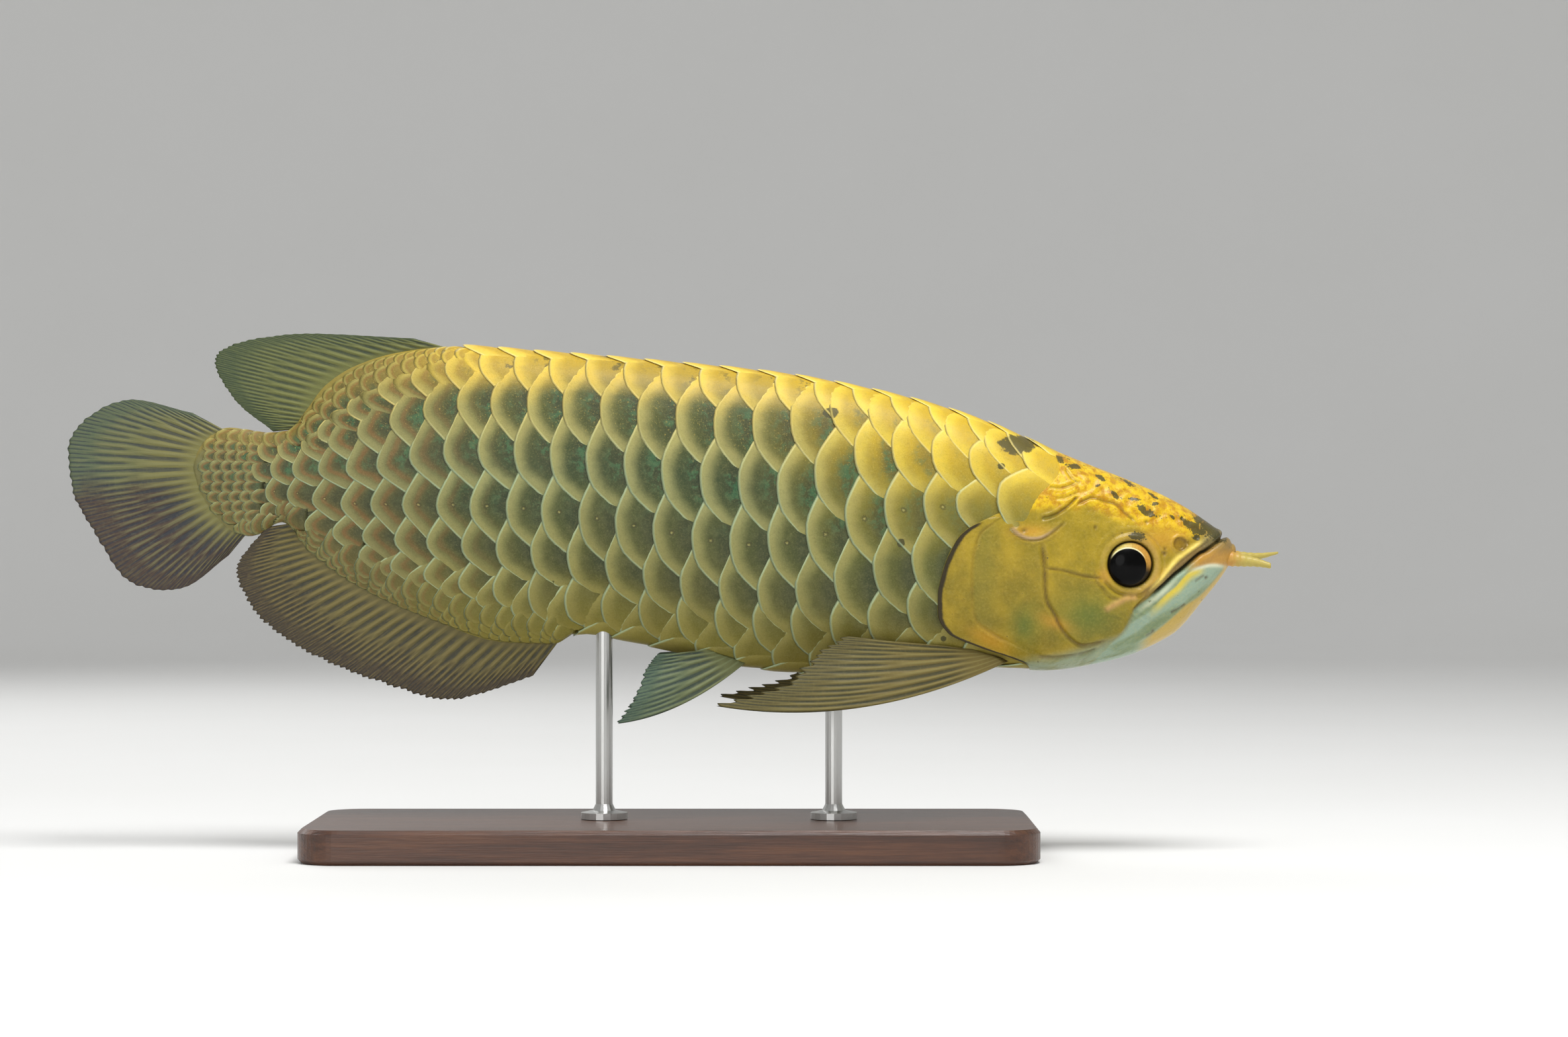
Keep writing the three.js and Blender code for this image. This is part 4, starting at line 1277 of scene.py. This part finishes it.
# The fins as points along the root and along the free edge, number of rays, half thickness at root and edge,
# depth of the edge's notches, and how far the leading part bows. The colours are those at the root, at the
# edge, of the rays, between the rays and, on the tail fin, of its lower half.
FINS = {
    "dorsal_fin": dict(
        root=on_middle_plane([(-113, 240), (-142, 233.5), (-164, 222), (-174, 208.5), (-178.5, 199.5)]),
        edge=on_middle_plane([(-122, 242.5), (-180, 244.5), (-214.5, 235.5), (-207, 214.5), (-188, 198.5)]),
        rays=20, thick=(1.0, 0.45), notch=0.02, slot="olive_fin",
        colours=(paint(104, 106, 58), paint(66, 78, 50), paint(122, 126, 72), paint(42, 54, 44)),
    ),
    "anal_fin": dict(
        root=on_middle_plane([
            (-55.5, 97), (-78, 97.5), (-107, 106), (-132.5, 115.5), (-156, 128.5), (-173, 142), (-182, 155),
        ]),
        edge=on_middle_plane([
            (-66, 83), (-104.5, 72), (-138.5, 80.5), (-168.5, 92.5), (-193.5, 109.5), (-205.5, 133),
            (-191.5, 153.5),
        ]),
        rays=33, thick=(1.5, 0.45), notch=0.035, slot="dusky_fin",
        colours=(paint(102, 94, 54), paint(62, 52, 40), paint(130, 116, 68), paint(42, 46, 44)),
    ),
    "tail_fin": dict(
        root=on_middle_plane([
            (-212, 200), (-219.5, 196), (-224, 189), (-224.5, 177.5), (-222, 168), (-215, 158.5), (-206, 152),
            (-201, 149.5),
        ]),
        edge=on_middle_plane([
            (-226, 207.5), (-258, 213.5), (-282.5, 198), (-283, 172), (-272.5, 151.5), (-256, 128),
            (-231, 124.5), (-209, 140),
        ]),
        rays=22, thick=(1.2, 0.45), notch=0.015, slot="dusky_fin",
        colours=(paint(116, 112, 62), paint(80, 92, 70), paint(124, 122, 82), paint(40, 48, 58),
                 paint(66, 52, 46)),
    ),
    "pectoral_fin": dict(
        root=[(152, -11, 90), (148, -12, 92), (143, -12.5, 94), (135.5, -13, 96.5)],
        edge=[(15, -54, 73), (49, -42, 80), (65, -33, 94), (80, -25, 103)],
        rays=7, thick=(2.0, 0.45), notch=0.05, slot="amber_fin", bow=(0, -4, -12),
        colours=(paint(112, 98, 50), paint(88, 80, 44), paint(138, 128, 76), paint(36, 44, 34)),
    ),
    "pelvic_fin": dict(
        root=[(30, -6, 88), (24, -7.5, 90), (18, -8.5, 92.5), (12, -9.5, 95.5)],
        edge=[(-27.5, -26, 62), (-19, -22, 72), (-13, -18, 86), (-7.5, -15.5, 94)],
        rays=6, thick=(1.5, 0.45), notch=0.05, slot="teal_fin", bow=(0, -2, -6),
        colours=(paint(104, 108, 68), paint(72, 92, 76), paint(128, 138, 100), paint(38, 54, 56)),
    ),
}


def fin_mesh(name, fin, side):
    """A fin as a closed sheet with ridged rays, which branch on their way out."""
    rays = fin["rays"]
    bow = np.array(fin.get("bow", (0, 0, 0)), float)

    def ray_point(u, v):
        start, end = spline(fin["root"], u), spline(fin["edge"], u)
        inward = start - end
        start = start + inward / np.linalg.norm(inward, axis=-1, keepdims=True) * FIN_ROOT_DEPTH
        return start + (end - start) * v[:, None] + bow * (4 * v * (1 - v) * (1 - u) ** 2)[:, None]

    def place(around, out):
        u = 1 - np.abs(1 - 2 * around)
        v = smooth_line([(0, 0), (0.85, 0.9), (1, 1)])(out)
        turn = 2 * math.pi * rays * u
        single = 0.5 + 0.5 * np.cos(turn)
        double = 0.5 - 0.5 * np.cos(2 * turn)
        fourfold = 0.5 - 0.5 * np.cos(4 * turn)
        first = smooth_step(v, *FIRST_FORK)
        second = smooth_step(v, *SECOND_FORK)
        ridge = single**1.5 * (1 - first) + double**1.2 * first * (1 - second)
        ridge += fourfold * first * second * 0.8
        uneven = 0.5 + 0.5 * np.sin(2.4 * np.floor(rays * u + 0.5) + 1.7 * np.sin(40 * u))
        reach = v * (1 - fin["notch"] * ((1 - double) * 0.7 + 0.5 * uneven) * smooth_step(v, 0.8, 1.0))
        point = ray_point(u, reach)
        along = ray_point(u, np.minimum(reach + 0.03, 1)) - ray_point(u, np.maximum(reach - 0.03, 0))
        across = ray_point(np.minimum(u + 0.01, 1), reach) - ray_point(np.maximum(u - 0.01, 0), reach)
        normal = np.cross(along, across)
        normal /= np.linalg.norm(normal, axis=1, keepdims=True)
        root_half, edge_half = fin["thick"]
        half = (root_half + (edge_half - root_half) * v) * (0.55 + 0.45 * ridge * smooth_step(v, 0.08, 0.25))
        half *= np.sqrt(np.clip(np.minimum(u, 1 - u) / 0.012, 0, 1))
        half *= np.sqrt(np.clip((1 - v) / 0.02, 0, 1)) * (out > 0)
        ripple = RIPPLE_HEIGHT * smooth_step(v, 0.3, 1) * np.sin(9 * u + 2 * v)
        facing = np.where(around < 0.5, 1, -1)
        point = point + normal * (half * facing + ripple)[:, None]
        point[:, 1] *= -side
        return point, {"ridge": ridge, "out": v, "fan": u}

    return grid_mesh(name, 2 * COLUMNS_PER_RAY * rays, FIN_ROWS, place)


def fin_finish(name, inner, outer, ray_colour, streak, lower=None):
    """The finish of a fin: two colours from root to edge, paler rays and dark streaks between them."""
    finish = Finish(name)
    out, fan, ridge = (finish.attribute(mark) for mark in ("out", "fan", "ridge"))
    clouds = finish.noise(60, 4)
    fine = finish.noise(700, 3, 0.6)
    threads = finish.fibres(fan, out)
    colour = finish.mix(finish.smooth(out + (clouds - 0.5) * 0.5, 0.2, 0.95), inner, outer)
    if lower:
        below = finish.smooth(fan + (clouds - 0.5) * 0.16, 0.38, 0.5) * finish.smooth(out, 0.08, 0.45)
        colour = finish.mix(below, colour, lower)
    colour = finish.mix(finish.smooth(ridge + (threads - 0.5) * 0.5, 0.45, 1.0) * 0.5, colour, ray_colour)
    gaps = (1 - finish.smooth(ridge + (threads - 0.5) * 0.7, 0.05, 0.42)) * finish.smooth(out, 0.08, 0.25)
    colour = finish.mix(gaps * (clouds * 0.5 + 0.5), colour, streak)
    colour = finish.mix(finish.smooth(threads, 0.5, 0.75) * 0.25, colour, ray_colour)
    colour = finish.mix(finish.smooth(fine, 0.45, 0.8) * 0.15, colour, ray_colour)
    normal = finish.bumps(fine * 0.5 + threads, 0.0002)
    return finish.surface(Base_Color=colour, Roughness=0.5, Normal=normal, Coat_Weight=0.08, **WET)


def add_fins():
    finishes = {}
    for name, fin in FINS.items():
        finishes[name] = fin_finish(name.replace("_", " ") + " skin", *fin["colours"])
    for name in ("dorsal_fin", "anal_fin", "tail_fin"):
        add_piece(fin_mesh(f"{name}_skin", FINS[name], -1), finishes[name], (name,))
    for side, hand in ((-1, "right"), (1, "left")):
        for name in ("pectoral_fin", "pelvic_fin"):
            mesh = fin_mesh(f"{name}_skin_{hand}", FINS[name], side)
            add_piece(mesh, finishes[name], (f"{name}_{hand}",))


# Eyes

PUPIL_SHIFT = (-1.5, -1.2)
PUPIL_RADIUS = 8.6
EYE_COLUMNS = 72
EYE_ROWS = 36


def eye_frame():
    """The right eye's centre and the directions out of, along and up its opening."""
    x, z = EYE_CENTRE
    share = body.share_at([x], z)
    surface = body.place([x], share, [0.0])[0]
    outward = body.look_up(body.outward, np.array([x]), share)[0] * (1, 1, 0.5)
    outward /= np.linalg.norm(outward)
    along = np.cross((0, 0, 1), outward)
    along /= np.linalg.norm(along)
    return surface - outward * EYE_SINK, outward, along, np.cross(outward, along)


def eye_mesh(name, side):
    centre, outward, along, upward = eye_frame()

    def place(around, down):
        turn = 2 * math.pi * around
        tilt = math.pi * down
        across = EYE_RADIUS * np.sin(tilt)
        a, b = across * np.cos(turn), across * np.sin(turn)
        depth = EYE_HALF_DEPTH * np.cos(tilt)
        point = centre + a[:, None] * along + b[:, None] * upward + depth[:, None] * outward
        pupil = np.hypot(a - PUPIL_SHIFT[0], b - PUPIL_SHIFT[1]) - PUPIL_RADIUS
        point[:, 1] *= -side
        return point, {"pupil": pupil, "ring": across, "lift": b, "fore": a}

    return grid_mesh(name, EYE_COLUMNS, EYE_ROWS, place)


def eye_finish():
    finish = Finish("eye")
    pupil, ring, lift, fore = (finish.attribute(name) for name in ("pupil", "ring", "lift", "fore"))
    flecks = finish.noise(900, 3, 0.6)
    gold = finish.mix(finish.smooth(fore, -5, 6), paint(200, 184, 100), paint(196, 146, 66))
    gold = finish.mix(finish.smooth(flecks, 0.35, 0.7) * 0.4, gold, paint(140, 104, 44))
    # The iris is gold at the top and towards the snout, and dark brown below and behind, where the socket's
    # shadow is painted
    colour = finish.mix(finish.smooth(lift + fore * 0.35, -1.5, 4.5), paint(40, 32, 18), gold)
    # A painted highlight along the top of the pupil's rim
    painted_glint = (1 - finish.smooth(pupil, 0.3, 0.7)) * finish.smooth(lift, 2, 6)
    colour = finish.mix(painted_glint * 0.8, colour, paint(240, 236, 190))
    colour = finish.mix(finish.smooth(pupil, -0.25, 0.2), paint(3, 3, 3), colour)
    colour = finish.mix(finish.smooth(ring, 9.3, 10.3), colour, paint(18, 14, 9))
    return finish.surface(
        Base_Color=colour, Roughness=0.3, Specular_IOR_Level=0.05,
        Coat_Weight=0.35, Coat_Roughness=0.03, Coat_IOR=1.25,
    )


def add_eyes():
    finish = eye_finish()
    for side, hand in ((-1, "right"), (1, "left")):
        add_piece(eye_mesh(f"eyeball_{hand}", side), finish, (f"eye_{hand}",))


# Barbels

BARBEL_COLUMNS = 20
BARBEL_ROWS = 48
BARBEL_TIP = 0.06

# The barbels as points along the middle and the radii at equal steps along it
BARBELS = {
    "right": (((253, -2, 139.5), (261, -2, 139), (267.5, -2.4, 138), (274.5, -3.8, 137), (281, -6, 135.4)),
              (4.0, 3.8, 3.0, 2.1, 1.3)),
    "left": (((253, 2, 140), (261, 2, 139.6), (268, 2.2, 139.2), (276, 4, 139.7), (286, 7, 141.4)),
             (4.0, 3.6, 2.8, 1.7, 0.5)),
}


def barbel_mesh(name, path, radii):
    thick = smooth_line(list(zip(np.linspace(0, 1, len(radii)), radii)))

    def place(around, along):
        t = np.clip(along * (1 + BARBEL_TIP), 0, 1)
        centre = spline(path, t)
        radius = thick(t) * np.sqrt(np.clip((1 - along) / BARBEL_TIP, 0, 1)) * (along > 0)
        radius = radius * (1 + 0.05 * np.sin(60 * t))
        turn = 2 * math.pi * around
        centre[:, 1] += radius * np.cos(turn)
        centre[:, 2] += radius * np.sin(turn)
        return centre, {"out": t}

    return grid_mesh(name, BARBEL_COLUMNS, BARBEL_ROWS, place)


def barbel_finish():
    finish = Finish("barbel skin")
    out = finish.attribute("out")
    clouds = finish.noise(350, 3)
    outer = finish.smooth(out + (clouds - 0.5) * 0.3, 0.2, 0.6)
    colour = finish.mix(outer, paint(190, 136, 50), paint(180, 162, 76))
    normal = finish.bumps(finish.noise(1400, 2), 0.0001)
    return finish.surface(Base_Color=colour, Roughness=0.5, Normal=normal, Coat_Weight=0.1)


def add_barbels():
    finish = barbel_finish()
    for hand, (path, radii) in BARBELS.items():
        add_piece(barbel_mesh(f"feeler_{hand}", path, radii), finish, (f"barbel_{hand}",))


# The stand keeps its solids and gets finer finishes


def wood_finish():
    finish = Finish("dark stained wood")
    grain = finish.noise(26, 5, 0.65, (0.6, 9, 9))
    fine = finish.noise(160, 3, 0.6, (0.25, 8, 8))
    colour = finish.ramp(grain * 0.7 + fine * 0.3, [
        (0.3, paint(44, 24, 14)), (0.5, paint(74, 42, 24)), (0.7, paint(98, 60, 34)),
    ])
    normal = finish.bumps(fine, 0.00025)
    return finish.surface(
        Base_Color=colour, Roughness=0.38, Normal=normal, Coat_Weight=0.3, Coat_Roughness=0.2,
    )


def steel_finish():
    finish = Finish("brushed steel")
    brushed = finish.noise(900, 3, 0.6, (1, 1, 0.05))
    rough = 0.24 + brushed * 0.2
    normal = finish.bumps(brushed, 0.00005)
    return finish.surface(Base_Color=paint(196, 196, 194), Metallic=1.0, Roughness=rough, Normal=normal)


def finish_stand():
    wood, steel = wood_finish(), steel_finish()
    for name, finish in (("stand_base", wood), ("stand_rod_front", steel), ("stand_rod_rear", steel)):
        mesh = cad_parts[name].data
        mesh.materials.clear()
        mesh.materials.append(finish)


# Floor, light and camera

# These sizes are in metres
STAGE_RADIUS = 4.2
STAGE_HEIGHT = 3.2
STAGE_CORNER = 1.4
CORNER_STEPS = 12
STAGE_SIDES = 96


def add_stage():
    """A pale floor that curves up all round, so that no horizon shows from any side."""
    flat = STAGE_RADIUS - STAGE_CORNER
    profile = [(0, 0), (flat, 0)]
    for k in range(1, CORNER_STEPS + 1):
        angle = math.pi / 2 * k / CORNER_STEPS
        profile.append((flat + STAGE_CORNER * math.sin(angle), STAGE_CORNER * (1 - math.cos(angle))))
    profile.append((STAGE_RADIUS, STAGE_HEIGHT))
    shape = bmesh.new()
    corners = [shape.verts.new((r, 0, z)) for r, z in profile]
    edges = [shape.edges.new(pair) for pair in zip(corners, corners[1:])]
    bmesh.ops.spin(
        shape, geom=corners + edges, cent=(0, 0, 0), axis=(0, 0, 1), angle=2 * math.pi, steps=STAGE_SIDES,
        use_merge=True,
    )
    bmesh.ops.remove_doubles(shape, verts=shape.verts, dist=COARSE_MERGE_DISTANCE)
    mesh = bpy.data.meshes.new("floor")
    shape.to_mesh(mesh)
    shape.free()
    mesh.shade_smooth()
    finish = Finish("pale floor")
    shade = finish.noise(3, 2)
    colour = finish.mix(shade, paint(228, 228, 226), paint(232, 232, 231))
    mesh.materials.append(finish.surface(Base_Color=colour, Roughness=0.85))
    floor = bpy.data.objects.new("floor", mesh)
    bpy.context.scene.collection.objects.link(floor)


def add_light(name, place, target, size, power):
    light = bpy.data.lights.new(name, "AREA")
    light.shape = "DISK"
    light.size = size
    light.energy = power
    lamp = bpy.data.objects.new(name, light)
    lamp.location = place
    lamp.rotation_euler = (Vector(target) - Vector(place)).to_track_quat("-Z", "Y").to_euler()
    lamp.visible_camera = False
    bpy.context.scene.collection.objects.link(lamp)


# The lights as place and width in metres, and power in watts
LIGHTS = {
    "key": ((0.35, -0.8, 1.9), 1.0, 36),
    "fill": ((-0.6, -2.3, 0.7), 1.6, 13),
    "rim": ((-0.9, 1.5, 1.3), 1.2, 10),
}
LIGHTS_TARGET = (0, 0, 0.16)
STUDIO_AIR_STRENGTH = 0.46


def add_lights():
    for name, (place, width, power) in LIGHTS.items():
        add_light(name, place, LIGHTS_TARGET, width, power)
    world = bpy.data.worlds.new("studio air")
    world.use_nodes = True
    background = world.node_tree.nodes["Background"].inputs
    background["Color"].default_value = (1, 1, 1, 1)
    background["Strength"].default_value = STUDIO_AIR_STRENGTH
    bpy.context.scene.world = world


SENSOR_WIDTH = 36.0
PICTURE_WIDTH_AT_FISH = 738.0
CAMERA_PLACE = (52.6, -2000.0, 157.6)


def add_camera():
    camera = bpy.data.cameras.new("camera")
    camera.sensor_width = SENSOR_WIDTH
    camera.lens = SENSOR_WIDTH * -CAMERA_PLACE[1] / PICTURE_WIDTH_AT_FISH
    holder = bpy.data.objects.new("camera", camera)
    holder.location = Vector(CAMERA_PLACE) * MM
    holder.rotation_euler = (math.pi / 2, 0, 0)
    bpy.context.scene.collection.objects.link(holder)
    bpy.context.scene.camera = holder


add_skin()
add_scales()
add_fins()
add_eyes()
add_barbels()
finish_stand()
add_stage()
add_lights()
add_camera()
bpy.context.scene.view_settings.view_transform = "Standard"

bpy.context.view_layer.update()
